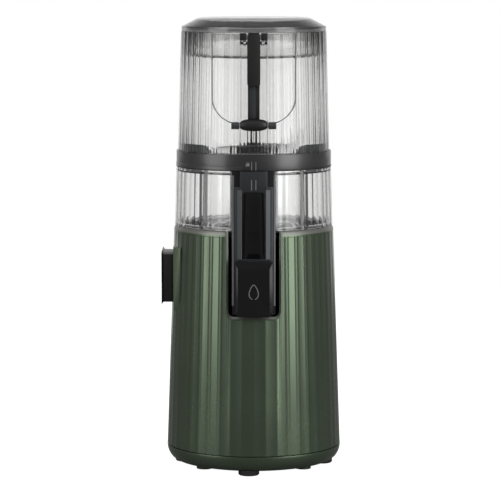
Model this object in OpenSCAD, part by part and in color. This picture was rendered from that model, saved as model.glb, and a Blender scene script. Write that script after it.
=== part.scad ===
// Upright cold press juicer, millimetres.
// +Z is up, the feet stand on z = 0, the drive axis is x = y = 0 and the juice spout faces -Y.

/* [Casing] */
// Radius of the casing at its widest, on the parting line above the base tray
casing_r = 88.4; // [87.5:0.1:90]
// How much narrower the casing is under its top rim
casing_taper = 7.6; // [7:0.1:8.4]
// Height of the parting line between tray and casing
parting_z = 20.7; // [19:0.1:22]
// Height of the casing's top edge
casing_top_z = 244.8; // [244:0.1:250]
// Height of the smooth band around the casing's top edge
rim_band_h = 6; // [4:0.5:8]
// Wall thickness of the casing and its tray
casing_wall = 3; // [2.5:0.1:3.2]
// Number of concave flutes around the casing, the chamber and the hopper
flute_count = 46; // [36:1:60]
// Depth of one flute on the casing
flute_depth = 0.35; // [0.3:0.05:0.6]
// Radius of the round edge under the base tray
tray_round_r = 11.9; // [10.5:0.1:13]
// Height of the underside of the base tray
tray_bottom_z = 5; // [4:0.5:6]
// How far inside the casing the tray screws and the well screws stand
post_inset = 18.4; // [18:0.1:19]

/* [Feet] */
// Radius of one rubber foot
foot_r = 10.5; // [9:0.5:11]
// How far inside the casing the feet stand
foot_inset = 18.4; // [18:0.1:20]
// Turn of the ring of feet about the drive axis
foot_turn = -4; // [-8:1:8]

/* [Front notch and side pad] */
// Half width of the notch in the front of the casing
notch_half_w = 25; // [24:0.5:26]
// Depth of the notch below the casing's top edge
notch_h = 84.5; // [84:0.1:86]
// Corner radius at the foot of the notch
notch_corner_r = 5; // [3:0.5:7]
// How far the side pad is set in from the casing's widest radius
pad_set = 7.4; // [7:0.1:7.9]
// Half width of the flat of the side pad
pad_half_w = 29; // [28:0.5:31]
// Half height of the side pad
pad_half_h = 32; // [30:0.5:34]

/* [Pulp outlet] */
// Half width of the pulp outlet's square tube
pulp_half_w = 24.2; // [23.6:0.1:24.6]
// Depth of the pulp outlet's middle below the casing's top edge
pulp_drop = 52.6; // [52:0.1:53]
// How far the pulp outlet's straight tube stands out of the side pad
pulp_reach = 10; // [9:0.5:12]
// Length of the flared lip in front of the tube
pulp_lip_l = 2; // [1.5:0.5:3]
// How far the lip flares out on each side
pulp_lip_flare = 2.4; // [1:0.2:3]
// Half width of the pulp passage through strainer, bowl and outlet seal
passage_half_w = 13; // [11:0.5:14]
// Half height of the pulp passage
passage_half_h = 12; // [10:0.5:13]

/* [Chamber] */
// Height of the clear chamber above the casing
chamber_h = 59.1; // [58:0.1:64]
// How much narrower the chamber is than the casing under its rim
chamber_step = 1; // [0.8:0.1:1.4]
// How much narrower the chamber is at its top
chamber_taper = 1.6; // [1.2:0.1:2]
// Depth of one flute on the clear walls
clear_flute_depth = 0.4; // [0.2:0.05:0.5]
// Wall of the clear sleeve that guides the food down to the flights
sleeve_wall = 2.5; // [2:0.1:3.5]
// Wall thickness of the clear chamber
chamber_wall = 2.6; // [2.2:0.1:3]
// Depth of the chamber below the casing's top edge
bowl_depth = 90.8; // [90:0.1:92]
// Gap between the bowl and the skirt around it
bowl_inset = 11.8; // [11:0.1:13]
// Depth of the ledge that carries the strainer below the casing's top edge
ledge_depth = 4.8; // [4:0.1:6]
// How much narrower the bayonet neck is than the chamber's top
neck_step = 5.2; // [5:0.1:5.6]

/* [Strainer and auger] */
// Inner radius of the strainer
strainer_r = 44; // [43.5:0.5:45]
// Thickness of the strainer mesh
mesh_t = 1.2; // [0.8:0.1:1.4]
// Number of upright ribs on the strainer
strainer_ribs = 12; // [8:1:16]
// Running gap between the auger's flights and the strainer
auger_gap = 0.8; // [0.6:0.1:1.5]
// Radius of the auger's core at its foot
auger_core_r = 31; // [28:0.5:33]
// Radius of the auger's head in the hopper floor
auger_head_r = 21; // [19:0.5:23]
// Height of the auger's foot above the bowl's underside
auger_lift = 22; // [21.5:0.1:23]
// Height of the spindle above the auger's head
spindle_h = 30; // [26:0.5:32]
// Turns of each flight
flight_turns = 1.4; // [1:0.1:1.8]
// Number of flights
flight_count = 2; // [1:1:3]
// How far the cutting wing reaches past the strainer
wing_over = 2; // [0:0.5:3]

/* [Front column] */
// Half width of the black frame behind the column
frame_half_w = 21.4; // [21:0.1:21.8]
// Thickness of the column in front of the frame
column_t = 2.4; // [2.2:0.1:2.8]
// Half width of the column
column_half_w = 19; // [18.5:0.1:19.4]
// Half width of the column's neck
column_neck_half_w = 13.5; // [12:0.5:15]
// Height of the column's neck
column_neck_h = 15.3; // [13:0.1:17]
// Half width of the gloss panel in the column
panel_half_w = 11.6; // [10:0.1:12.5]
// Depth of the gloss panel's top below the chamber's top
panel_drop = 20.3; // [18:0.1:24]

/* [Juice lever] */
// Half width of the juice lever
lever_half_w = 18.8; // [18.2:0.1:19]
// Height of the lever
lever_h = 54.5; // [54:0.1:56]
// Depth of the lever from back edge to face
lever_depth = 14.4; // [14:0.1:16]
// Wall thickness of the lever
lever_wall = 2.4; // [2:0.1:2.6]
// Outer radius of the juice tube
tube_r = 10; // [9:0.5:10.5]
// Height of the juice tube's axis above the lever's lower edge
tube_lift = 18; // [17:0.5:20]

/* [Hopper] */
// Height of the collar
collar_h = 15.6; // [15.4:0.1:17]
// How much narrower the hopper is than the collar
hopper_step = 1.7; // [1.5:0.1:2]
// How much narrower the hopper is under the lid
hopper_taper = 3.3; // [3:0.1:3.6]
// Height of the hopper above the collar
hopper_h = 119.7; // [119:0.1:125]
// Wall thickness of the hopper and its door
hopper_wall = 2.2; // [1.8:0.1:2.3]
// Number of bayonet lugs
lug_count = 3; // [2:1:4]
// Width of one bayonet lug about the drive axis
lug_span = 16; // [12:1:18]

/* [Feed door] */
// Half width of the door at its top
door_half_w = 41; // [39:0.5:42]
// Height of the door's lower edge above the collar
door_lift = 30.5; // [30:0.1:32]
// Radius of the door's lower corners
door_corner_r = 26; // [22:0.5:28]
// Gap around the door
door_gap = 0.5; // [0.35:0.05:0.7]
// Distance of the door's hinge axis from the hopper's outside
hinge_out = 5.4; // [5.3:0.1:5.8]
// Radius of the door's barrel
barrel_r = 5.5; // [5:0.1:5.6]
// Half width of the door's barrel
barrel_half_w = 13.75; // [13:0.25:14]
// Outer end of the hinge knuckles
knuckle_end_x = 22; // [20:0.5:23]

/* [Door latch] */
// Half width of the latch handle
handle_half_w = 6.4; // [6:0.1:6.8]
// Length of the latch handle
handle_l = 49.4; // [47:0.1:52]
// Half width of the clear housing around the handle
housing_half_w = 13.5; // [13:0.1:14]
// Depth of the latch's pivot below the hopper's top edge
latch_drop = 10; // [9:0.5:11]
// Distance of the latch's pivot from the hopper's outside
latch_out = 5.4; // [5.2:0.1:5.8]

/* [Lid] */
// How much narrower the lid is than the hopper's top
lid_step = 0.3; // [0:0.1:0.6]
// Height of the lid's rim
lid_rim_h = 5.2; // [4.5:0.1:6]
// Height of the dome above the rim
dome_h = 8.8; // [8:0.1:10]
// Depth of the lid's dish below the hopper's top edge
dish_h = 27; // [24:0.5:29]
// Gap between the lid's dish and the hopper
dish_gap = 0.7; // [0.6:0.1:1.2]

/* [Motor and gears] */
// Distance between the drive axis and the cluster gear's axle
gear_centre = 36; // [34:1:37]
// Teeth of the motor pinion and of the small cluster gear
pinion_teeth = 12; // [12:1:12]
// Teeth of the large cluster gear
cluster_teeth = 60; // [60:12:60]
// Teeth of the output gear
output_teeth = 48; // [48:12:48]
// Pressure angle of all the gears
pressure_angle = 25; // [22:1:27]
// Backlash on each flank
backlash = 0.12; // [0.08:0.01:0.2]
// Side of the square stator stack
stator_side = 88; // [84:1:90]
// Radius of the rotor
rotor_r = 25.4; // [24:0.2:26]
// Air gap between rotor and stator
air_gap = 0.6; // [0.5:0.1:1]
// Radius of the drive shaft where it runs in its bush
shaft_r = 8; // [7.5:0.1:8.2]
// Radius of the drive hexagon over its corners
hex_r = 6.5; // [6:0.1:6.8]
// Radius of the motor shaft
motor_shaft_r = 3.5; // [3.2:0.1:3.8]
// Running clearance between shafts, pins and their bores
run_gap = 0.06; // [0.04:0.01:0.08]

/* [Dial and cord inlet] */
// Radius of the control dial
dial_r = 20; // [18:0.5:21]
// Height of the control dial's axis
dial_z = 74; // [72:0.5:75]
// How far the dial's face stands out past the casing
dial_out = 8.6; // [8:0.1:10]
// Height of the cord inlet
inlet_z = 34; // [33.5:0.5:36]
// Radius of the cord inlet's bore
inlet_bore_r = 4; // [3.5:0.1:4.5]

/* [Hidden] */
$fn = 192;
flute_steps = 4;
eps = 0.01;
// Clearance between separate solids: screws, seats, and parts that pass each other
fit = 0.3;
seat_gap = 0.4;
clear = 0.5;
// Overlap of joined shapes and overrun of cuts
lap = 1;
// Cuts from outside reach from cut_far in to cut_near, and cut_high is above the part
cut_over = 31.6;
cut_far = casing_r + cut_over;
cut_depth = 28.4;
cut_near = casing_r - cut_depth;
cut_high = 500;

// base and casing
casing_top_r = casing_r - casing_taper;
rim_z = casing_top_z - rim_band_h;
rim_lean = 0.3;
rim_r = casing_top_r - rim_lean;
rim_bevel = 1;
rim_bevel_h = 2;
casing_slope = casing_taper / (rim_z - parting_z);
tray_flat_r = casing_r - tray_round_r;
tray_round_h = parting_z - tray_bottom_z;
parting_step = 0.2;
post_ring_r = casing_r - post_inset;
post_half_w = 6;
post_depth = 7;
foot_ring_r = casing_r - foot_inset;
foot_set = 2;
foot_top_z = tray_bottom_z + foot_set;
foot_edge = 0.8;
foot_cup_wall = 2;
screw_r = 1.6;
screw_head_r = 3.5;
screw_head_h = 2.4;
head_sink = 2;
tray_screw_l = 30;
tray_pilot_l = 20;
pad_x = casing_r - pad_set;
pad_r = 8;
pad_drop = 2.4;
pad_chamfer = 7.5;
vent_count = 9;
vent_w = 3;
vent_l = 46;
vent_pitch = 7;
notch_bottom_z = casing_top_z - notch_h;
pulp_z = casing_top_z - pulp_drop;
pulp_end_x = pad_x + pulp_reach;

// well
bowl_bottom_z = casing_top_z - bowl_depth;
seat_ring_h = 2;
well_floor_z = bowl_bottom_z - seat_ring_h;
well_floor_t = 4;
well_wall = 2;
well_gap = 0.6;
well_r = casing_top_r - casing_wall - well_gap;
well_inner_r = well_r - well_wall;
well_drop = 1.8;
well_top_z = casing_top_z - well_drop;
well_screw_l = 14;
well_pilot_l = 16;
well_hub_r = 22;
post_top_z = well_floor_z - well_floor_t;
well_hub_drop = 3;
well_hub_z = post_top_z - well_hub_drop;
seat_ring_r = 56;
seat_ring_w = 6;
seal_r = 2 * shaft_r;

// motor, from the tray up
motor_shaft_bottom_z = 11;
fan_lift = 2;
fan_bottom_z = motor_shaft_bottom_z + fan_lift;
fan_h = 10;
fan_r = 38;
fan_hub_r = 9;
fan_disc_r = 32;
fan_t = 1.6;
fan_blades = 7;
motor_bottom_z = 28;
bell_h = 16;
bell_t = 3;
bell_slot_half_w = 14;
bell_slot_edge = 5;
bell_corner_r = 54;
stator_bottom_z = motor_bottom_z + bell_h;
stator_h = 34;
stator_top_z = stator_bottom_z + stator_h;
coil_h = 8;
coil_outer_r = 40;
coil_inner_r = 28;
bolt_r = 2;
bolt_place = 36;
bolt_head_h = 3;
bearing_r = 11;
bearing_h = 7;
bearing_over = 2;
bearing_seat_h = bearing_h + bearing_over;
rotor_over = 2;

// gearbox
box_bottom_z = stator_top_z + bell_h;
box_wall = 3;
box_drive_r = 36;
box_cluster_r = 35;
fine_gear_lift = 5;
fine_gear_z = box_bottom_z + fine_gear_lift;
fine_gear_h = 8;
fine_gear_top_z = fine_gear_z + fine_gear_h;
gear_gap = 4;
coarse_gear_z = fine_gear_top_z + gear_gap;
coarse_gear_h = 14;
coarse_gear_top_z = coarse_gear_z + coarse_gear_h;
fine_module = 2 * gear_centre / (pinion_teeth + cluster_teeth);
coarse_module = 2 * gear_centre / (pinion_teeth + output_teeth);
box_headroom = 5;
box_top_z = coarse_gear_top_z + box_headroom;
cover_t = 4;
cover_top_z = box_top_z + cover_t;
cover_boss_wall = 4;
cover_screw_r = 1.5;
cover_screw_l = 12;
cover_pilot_l = 14;
cover_head_h = 2;
ear_r = 4.5;
ear_out = 2;
axle_r = 4;
axle_boss_wall = 2;
shaft_hole_gap = 2;
output_drop = 2.4;
output_bottom_z = coarse_gear_z - output_drop;
bush_wall = 3;
bush_gap = 1.2;
bush_lower_z = coarse_gear_top_z + bush_gap;
bush_drop = 4;
bush_upper_z = post_top_z - bush_drop;
mount_r = 5;
mount_x = 23;
mount_front_y = -19;
mount_back_y = 50;

// control board, dial and inlet
board_inset = 28.4;
board_x = casing_r - board_inset;
board_t = 1.6;
board_half_w = 24;
board_bottom_z = 13;
board_h = 64;
rail_w = 2;
rail_h = 6;
// Parts on the board: left, right, lower and upper edge, and how far they stand out
board_parts = [[-16, 0, 27, 45, 10.4], [4, 18, 23, 37, 7.4]];
dial_face_y = casing_r + dial_out;
dial_grip_h = 2;
dial_grip_half_w = 3.4;
dial_grip_inset = 3;
dial_grip_half_l = dial_r - dial_grip_inset;
bezel_w = 4;
bezel_r = dial_r + bezel_w;
bezel_set = 8.4;
bezel_back_y = casing_r - bezel_set;
dial_t = 7.6;
bezel_front_y = dial_face_y - dial_t;
spindle_r = 3;
spindle_cover = 2.5;
spindle_end_y = dial_face_y - spindle_cover;
switch_half_w = 15;
switch_l = 15;
inlet_wall = 4;
inlet_half_w = inlet_bore_r + inlet_wall;
inlet_set = 8.4;
inlet_in_y = casing_r - inlet_set;
inlet_flange_out = 2.1;
inlet_out_y = casing_r + inlet_flange_out;
inlet_flange_w = 3.5;
inlet_flange_r = inlet_half_w + inlet_flange_w;

// chamber
chamber_foot_z = casing_top_z + seat_gap;
chamber_top_z = chamber_foot_z + chamber_h;
chamber_r = casing_top_r - chamber_step;
chamber_top_r = chamber_r - chamber_taper;
chamber_top_t = 2.8;
skirt_gap = 0.4;
skirt_r = well_inner_r - skirt_gap;
skirt_top_z = chamber_foot_z + chamber_wall;
skirt_flat = 2;
bowl_wall = 3;
bowl_r = skirt_r - bowl_inset - bowl_wall;
bowl_floor_t = 4;
ledge_z = casing_top_z - ledge_depth;
ledge_t = 3;
hub_r = 12.5;
hub_wall = 2.6;
hub_h = 18;
hub_top_z = bowl_bottom_z + hub_h;
well_hub_play = 2;
hex_lift = 4;
hex_bottom_z = bowl_bottom_z + hex_lift;
auger_bottom_z = bowl_bottom_z + auger_lift;
hex_reach = 14;
hex_top_z = auger_bottom_z + hex_reach;
hex_gap = 0.35;
neck_r = chamber_top_r - neck_step;
neck_wall = 3;
neck_h = 8.7;
neck_top_z = chamber_top_z + neck_h;
tab_lift = 4.4;
tab_z = chamber_top_z + tab_lift;
tab_h = 3;
tab_reach = 2.2;
lug_angle = 30;
collar_gap = 0.4;
collar_bottom_z = chamber_top_z + collar_gap;
collar_top_z = collar_bottom_z + collar_h;

// strainer and pulp duct
mesh_r = strainer_r + mesh_t;
frame_t = 3;
flange_over = 5;
rib_w = 3;
hoop_h = 5;
strainer_bottom_z = bowl_bottom_z + bowl_floor_t;
duct_wall = 3;
duct_inset = 3;
duct_end_x = bowl_r - duct_inset;
duct_set = 9;
duct_mouth_x = pad_x - duct_set;
seal_t = 0.9;
outlet_inner_x = duct_mouth_x + fit + seal_t;
pulp_back_t = 2;
pulp_lip_t = 1.2;

// auger
flight_r = strainer_r - auger_gap;
flight_drop = 1;
flight_top_z = ledge_z + frame_t - flight_drop;
sleeve_inset = 6.5;
sleeve_r = bowl_r + bowl_wall - sleeve_inset;
sleeve_foot_z = ledge_z + frame_t + seat_gap;
auger_neck_lift = 2;
auger_neck_z = flight_top_z + auger_neck_lift;
auger_head_drop = 0.3;
auger_head_z = collar_top_z - auger_head_drop;
flight_foot_t = 5;
flight_rim_t = 2.6;
flight_rings = 30;
flight_root = 2;
bush_r = 11;
bush_h = 30;
bush_top_z = auger_bottom_z + bush_h;
socket_over = 2;
socket_top_z = hex_top_z + socket_over;
head_h = 12;
auger_spindle_r = 3;
spindle_top_z = auger_head_z + spindle_h;
wing_r = strainer_r + wing_over;
wing_t = 2.6;
wing_hub_r = 9;
wing_foot_lift = 4;
wing_foot_z = auger_head_z + wing_foot_lift;
wing_drop = 5;
wing_top_z = spindle_top_z - wing_drop;
wing_heel_r = 14;
wing_tip_w = 3;
wing_sweep = 14;
paddle_inset = 8;
paddle_r = wing_r - paddle_inset;
paddle_h = 5;

// front column and lever
frame_back_gap = 0.2;
frame_inner_r = skirt_r + frame_back_gap;
frame_set = 0.2;
frame_outer_r = chamber_r - frame_set;
column_r = frame_outer_r + column_t;
column_lift = 2.7;
column_bottom_z = notch_bottom_z + column_lift;
column_neck_z = chamber_top_z - column_neck_h;
frame_below = 1;
frame_bottom_z = column_bottom_z - frame_below;
web_x = 12;
web_t = 3;
web_lift = 4;
web_bottom_z = column_bottom_z + web_lift;
web_drop = 6;
web_top_z = ledge_z - web_drop;
panel_depth = 0.9;
panel_inset = 0.3;
panel_corner_r = 5;
lever_lift = 1.7;
lever_bottom_z = notch_bottom_z + lever_lift;
lever_top_z = lever_bottom_z + lever_h;
panel_lift = 1.5;
panel_bottom_z = lever_top_z + panel_lift;
panel_top_z = chamber_top_z - panel_drop;
lever_gap = 0.6;
lever_back_y = column_r + lever_gap;
lever_front_y = lever_back_y + lever_depth;
lever_lean = 3;
lever_lean_h = 12;
tube_z = lever_bottom_z + tube_lift;
tube_wall = 2;
tube_sink = 2;
tube_start_y = bowl_r - tube_sink;
tube_reach = 4;
tube_end_y = column_r + tube_reach;
lug_w = 12;
lug_slot = 13;
lever_pin_r = 1.6;
lever_pin_inset = 1;
lever_pin_half_l = lever_half_w - lever_pin_inset;
pivot_boss_r = 3.2;
pivot_gap = 0.6;
lever_pivot_y = lever_front_y - lever_wall - pivot_boss_r - pivot_gap;
pivot_drop = 5;
lever_pivot_z = lever_top_z - pivot_drop;
lever_seal_over = 0.5;
lever_seal_r = tube_r + lever_seal_over;
lever_seal_t = 2.6;
lever_post_r = 6;
seal_touch = 0.05;

// collar, hopper and door
collar_r = chamber_top_r;
tab_play = 0.6;
collar_wall = collar_r - neck_r - tab_reach - tab_play;
neck_play = 0.8;
seal_inset = 0.2;
hopper_foot_drop = 0.4;
hopper_foot_z = neck_top_z - hopper_foot_drop;
hopper_ledge_lift = 3;
hopper_ledge_z = neck_top_z + hopper_ledge_lift;
hopper_top_z = collar_top_z + hopper_h;
hopper_r = collar_r - hopper_step;
hopper_top_r = hopper_r - hopper_taper;
guide_gap = 2.3;
guide_outer_r = hopper_r - hopper_wall - guide_gap;
guide_crest_w = 4;
guide_crest_r = guide_outer_r - guide_crest_w;
guide_foot_w = 24;
guide_foot_r = guide_outer_r - guide_foot_w;
guide_h = 9;
guide_span = 44;
door_bottom_z = collar_top_z + door_lift;
door_drop = 1.6;
door_top_z = hopper_top_z - door_drop;
hinge_y = hopper_r + hinge_out;
hinge_drop = 1.3;
hinge_z = door_bottom_z - hinge_drop;
pin_r = 1.8;
knuckle_r = 3.5;
knuckle_root = 8;
knuckle_root_y = hopper_r - knuckle_root;

// latch
latch_pivot_z = hopper_top_z - latch_drop;
latch_pivot_y = hopper_top_r + latch_out;
latch_pin_r = 1.4;
housing_wall = 1.6;
housing_over = 3.6;
housing_reach = latch_pivot_y + housing_over;
housing_lift = 5.2;
housing_bottom_z = door_bottom_z + housing_lift;
housing_root = 4;
housing_root_y = hopper_top_r - housing_root;
handle_behind = 1.6;
handle_back_y = latch_pivot_y - handle_behind;
handle_before = 4.4;
handle_front_y = latch_pivot_y + handle_before;
handle_above = 7.4;
handle_top_z = latch_pivot_z + handle_above;
handle_bottom_z = handle_top_z - handle_l;
handle_corner_r = 2.6;
handle_nose_top_z = hopper_top_z;
nose_l = 3.4;
nose_set = 0.4;
block_lift = 3.2;
block_bottom_z = latch_pivot_z + block_lift;
block_h = 4.6;
block_top_z = block_bottom_z + block_h;
spring_wire_r = 0.4;
spring_pitch = 0.95;
spring_turns = 3;
coil_steps = 12;
wire_sides = 6;
spring_gap = 2.6;
spring_x = handle_half_w + spring_gap;

// lid
lid_r = hopper_top_r - lid_step;
lid_rim_w = 6.9;
lid_rim_in_r = lid_r - lid_rim_w;
lid_top_z = hopper_top_z + lid_rim_h;
dome_t = 2;
dome_flat_inset = 21.9;
dome_flat_r = lid_r - dome_flat_inset;
dome_shoulder_inset = 14.4;
dome_shoulder_r = lid_r - dome_shoulder_inset;
dome_crown = 1.6;
dome_shoulder_h = dome_h - dome_crown;
dome_edge = 1;
dome_steps = 4;
dish_r = hopper_top_r - hopper_wall - dish_gap;
dish_bottom_z = hopper_top_z - dish_h;
dish_t = 1.8;
dish_round = 12;
catch_half_w = 10;
catch_inset = 2.6;
catch_y = latch_pivot_y - catch_inset;
catch_lift = 1.4;
catch_drop = 0.6;

// ---------- shared shapes ----------

// Radius of the casing's outside, its flutes' crests, at height z
function casing_r_at(z) = casing_r - casing_slope * (z - parting_z);

// Radius of the hopper's outside at height z
function hopper_r_at(z) = hopper_r
    - (hopper_r - hopper_top_r) * (z - collar_top_z) / (hopper_top_z - collar_top_z);

// The hopper's outside as a plain cone, made larger all round by grow
module hopper_cone(grow) {
    translate([0, 0, chamber_top_z])
        cylinder(r1 = hopper_r_at(chamber_top_z) + grow, r2 = hopper_r_at(cut_high) + grow,
            h = cut_high - chamber_top_z);
}

// Outline with flute_count shallow hollows between crests of radius r
function fluted_outline(r, depth) = [
    for (i = [0 : flute_count * flute_steps - 1])
        let (share = (i % flute_steps) / flute_steps)
        let (rad = r - 4 * depth * share * (1 - share))
        let (turn = -90 + 360 * i / (flute_count * flute_steps))
        [rad * cos(turn), rad * sin(turn)]
];

// The outline given as children, extruded from one height to another
module slab(z_low, z_high) {
    translate([0, 0, z_low]) linear_extrude(height = z_high - z_low) children();
}

module fluted_cone(r_low, r_high, depth, z_low, z_high) {
    translate([0, 0, z_low])
        linear_extrude(height = z_high - z_low, scale = r_high / r_low)
            polygon(fluted_outline(r_low, depth));
}

module ring(r_out, r_in, z_low, z_high) {
    difference() {
        rod(r_out, z_low, z_high);
        rod(r_in, z_low - lap, z_high + lap);
    }
}

module rod(r, z_low, z_high) {
    translate([0, 0, z_low]) cylinder(r = r, h = z_high - z_low);
}

// Box from one corner to the other
module block(low, high) {
    translate(low) cube(high - low);
}

// Round bar along X, centred on x = 0
module bar_x(r, half_l, y, z) {
    translate([-half_l, y, z]) rotate([0, 90, 0]) cylinder(r = r, h = 2 * half_l);
}

// Round bar along Y
module bar_y(r, y_low, y_high, z, x = 0) {
    translate([x, y_high, z]) rotate([90, 0, 0]) cylinder(r = r, h = y_high - y_low);
}

// Square bar along Y, centred on x = 0
module square_bar_y(half_w, y_low, y_high, z) {
    block([-half_w, y_low, z - half_w], [half_w, y_high, z + half_w]);
}

// Copies at the four corners of a ring
module at_corners(radius, turn = 45) {
    for (i = [0 : 3]) rotate(turn + 90 * i) translate([radius, 0, 0]) children();
}

module at_feet() {
    at_corners(foot_ring_r, foot_turn - 90) children();
}

// Screw put in from below, with the underside of its head at z_head
module screw(r, head_r, head_h, length, z_head) {
    rod(r, z_head, z_head + length);
    rod(head_r, z_head - head_h, z_head);
}

// ---------- gears ----------

function involute(angle) = tan(angle) - angle * PI / 180;

// Half of a tooth's angle at radius r, for a gear of pitch radius rp and base radius rb
function tooth_half(r, rp, rb, teeth) = 90 / teeth
    + (involute(pressure_angle) - involute(acos(min(1, rb / r))) - backlash / rp) * 180 / PI;

function polar(r, turn) = [r * cos(turn), r * sin(turn)];

module gear(teeth, size, turn) {
    rp = teeth * size / 2;
    rb = rp * cos(pressure_angle);
    tip = rp + size;
    root = rp - 1.25 * size;
    foot = max(rb, root + eps);
    radii = [foot, (2 * foot + tip) / 3, (foot + 2 * tip) / 3, tip];
    rotate(turn) polygon([
        for (i = [0 : teeth - 1])
            let (mid = 360 * i / teeth)
            each concat(
                [polar(root, mid - tooth_half(foot, rp, rb, teeth))],
                [for (r = radii) polar(r, mid - tooth_half(r, rp, rb, teeth))],
                [for (j = [3 : -1 : 0]) polar(radii[j], mid + tooth_half(radii[j], rp, rb, teeth))],
                [polar(root, mid + tooth_half(foot, rp, rb, teeth))]
            )
    ]);
}

// ---------- base and casing ----------

// The inside of the casing, a plain cone
module casing_inside(wall, z_low, z_high) {
    translate([0, 0, z_low])
        cylinder(r1 = casing_r_at(z_low) - wall, r2 = casing_r_at(z_high) - wall, h = z_high - z_low);
}

module notch_shape() {
    low = notch_bottom_z;
    half = notch_half_w;
    for (side = [-1, 1])
        translate([side * (half - notch_corner_r), low + notch_corner_r]) circle(r = notch_corner_r);
    translate([-half, low + notch_corner_r]) square([2 * half, cut_far]);
    translate([notch_corner_r - half, low]) square([2 * (half - notch_corner_r), cut_far]);
}

module front_notch() {
    translate([0, -cut_near, 0]) rotate([90, 0, 0])
        linear_extrude(height = cut_far - cut_near) notch_shape();
}

module pulp_window(grow) {
    block([-cut_far, -pulp_half_w - grow, pulp_z - pulp_half_w - grow],
          [-cut_near, pulp_half_w + grow, pulp_z + pulp_half_w + grow]);
}

module side_pad() {
    low = pad_x - pad_chamfer;
    wide = pad_half_w + pad_chamfer;
    slab(pulp_z - pad_half_h, pulp_z + pad_half_h)
        polygon([[-cut_near, -wide], [-low, -wide], [-pad_x, -pad_half_w],
                     [-pad_x, pad_half_w], [-low, wide], [-cut_near, wide]]);
}

module body_shell() {
    color("darkolivegreen") difference() {
        union() {
            fluted_cone(casing_r - parting_step, casing_r_at(rim_z), flute_depth,
                parting_z + seat_gap, rim_z);
            translate([0, 0, rim_z - eps])
                cylinder(r1 = casing_top_r, r2 = rim_r, h = rim_band_h - rim_bevel_h + eps);
            translate([0, 0, casing_top_z - rim_bevel_h])
                cylinder(r1 = rim_r, r2 = rim_r - rim_bevel, h = rim_bevel_h);
            side_pad();
        }
        difference() {
            casing_inside(casing_wall, parting_z, casing_top_z + lap);
            intersection() {
                casing_inside(casing_wall / 2, parting_z, post_top_z);
                for (i = [0 : 3]) rotate(45 + 90 * i)
                    block([post_ring_r - post_depth, -post_half_w, parting_z + seat_gap],
                          [casing_r, post_half_w, post_top_z]);
            }
        }
        front_notch();
        pulp_window(fit);
        bar_y(bezel_r, cut_near, cut_far, dial_z);
        square_bar_y(inlet_half_w, cut_near, cut_far, inlet_z);
        at_corners(post_ring_r) {
            rod(screw_r, parting_z, parting_z + tray_pilot_l);
            rod(screw_r, post_top_z - well_pilot_l, post_top_z + lap);
        }
    }
}

function tray_outline(inset) = concat(
    [[0, tray_bottom_z + inset]],
    [for (a = [0 : 10 : 90])
        [tray_flat_r + (tray_round_r - inset) * sin(a), parting_z - (tray_round_h - inset) * cos(a)]],
    [[0, parting_z]]
);

module base_tray() {
    color("darkolivegreen") difference() {
        union() {
            difference() {
                rotate_extrude() polygon(tray_outline(0));
                rotate_extrude() polygon(tray_outline(casing_wall));
                rod(tray_flat_r + tray_round_r - casing_wall, parting_z - eps, parting_z + lap);
            }
            at_corners(post_ring_r) {
                rod(post_half_w, tray_bottom_z + lap, parting_z + seat_gap);
                rod(pad_r, tray_bottom_z - pad_drop, tray_bottom_z + lap);
            }
            intersection() {
                at_feet() rod(foot_r + foot_cup_wall, tray_bottom_z, foot_top_z + casing_wall);
                rotate_extrude() polygon(tray_outline(0));
            }
            for (side = [-1, 1])
                block([board_x - rail_w, side * board_half_w - rail_w, tray_bottom_z + lap],
                      [board_x + board_t + rail_w, side * board_half_w + rail_w, board_bottom_z + rail_h]);
        }
        at_corners(post_ring_r) {
            rod(screw_r + fit, 0, parting_z + seat_gap + lap);
            rod(screw_head_r + fit, 0, tray_bottom_z + head_sink);
        }
        at_feet() rod(foot_r, 0, foot_top_z);
        for (i = [0 : vent_count - 1])
            translate([(i - (vent_count - 1) / 2) * vent_pitch, 0, 0])
                block([-vent_w / 2, -vent_l / 2, 0],
                      [vent_w / 2, vent_l / 2, tray_bottom_z + casing_wall + lap]);
        block([board_x, -board_half_w, board_bottom_z],
              [board_x + board_t, board_half_w, board_bottom_z + board_h]);
    }
}

module rubber_feet() {
    color("black") at_feet() {
        rod(foot_r - foot_edge, 0, foot_edge + eps);
        rod(foot_r, foot_edge, foot_top_z);
    }
}

// Four long screws from below, through the tray, and four short ones from above, through the well
module casing_screws() {
    color("silver") at_corners(post_ring_r) {
        screw(screw_r, screw_head_r, screw_head_h, tray_screw_l, tray_bottom_z + head_sink);
        rod(screw_r, post_top_z - well_screw_l, well_floor_z);
        rod(screw_head_r, well_floor_z, well_floor_z + screw_head_h);
    }
}

// The black cup in the casing's top that the chamber stands in
module chamber_well() {
    color("dimgray") difference() {
        union() {
            ring(well_r, well_inner_r, post_top_z, well_top_z);
            rod(well_r, post_top_z, well_floor_z);
            ring(seat_ring_r, seat_ring_r - seat_ring_w, well_floor_z - eps, bowl_bottom_z);
            rod(well_hub_r, well_hub_z, well_floor_z);
        }
        front_notch();
        pulp_window(fit);
        rod(seal_r, well_hub_z - lap, well_floor_z + lap);
        at_corners(post_ring_r) rod(screw_r + fit, post_top_z - lap, well_floor_z + lap);
    }
}

module shaft_seal() {
    color("black") ring(seal_r, shaft_r + fit, well_hub_z, well_floor_z + lap);
}

// ---------- drive train ----------

module box_outline(grow) {
    circle(r = box_drive_r + grow);
    translate([0, gear_centre]) circle(r = box_cluster_r + grow);
    translate([-box_cluster_r - grow, 0]) square([2 * (box_cluster_r + grow), gear_centre]);
}

module at_cover_screws() {
    for (turn = [-45, -135]) rotate(turn) translate([box_drive_r + ear_out, 0, 0]) children();
    translate([0, gear_centre, 0])
        for (turn = [45, 135]) rotate(turn) translate([box_cluster_r + ear_out, 0, 0]) children();
}

module at_bolts() {
    for (x = [-1, 1]) for (y = [-1, 1]) translate([x * bolt_place, y * bolt_place, 0]) children();
}

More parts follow.
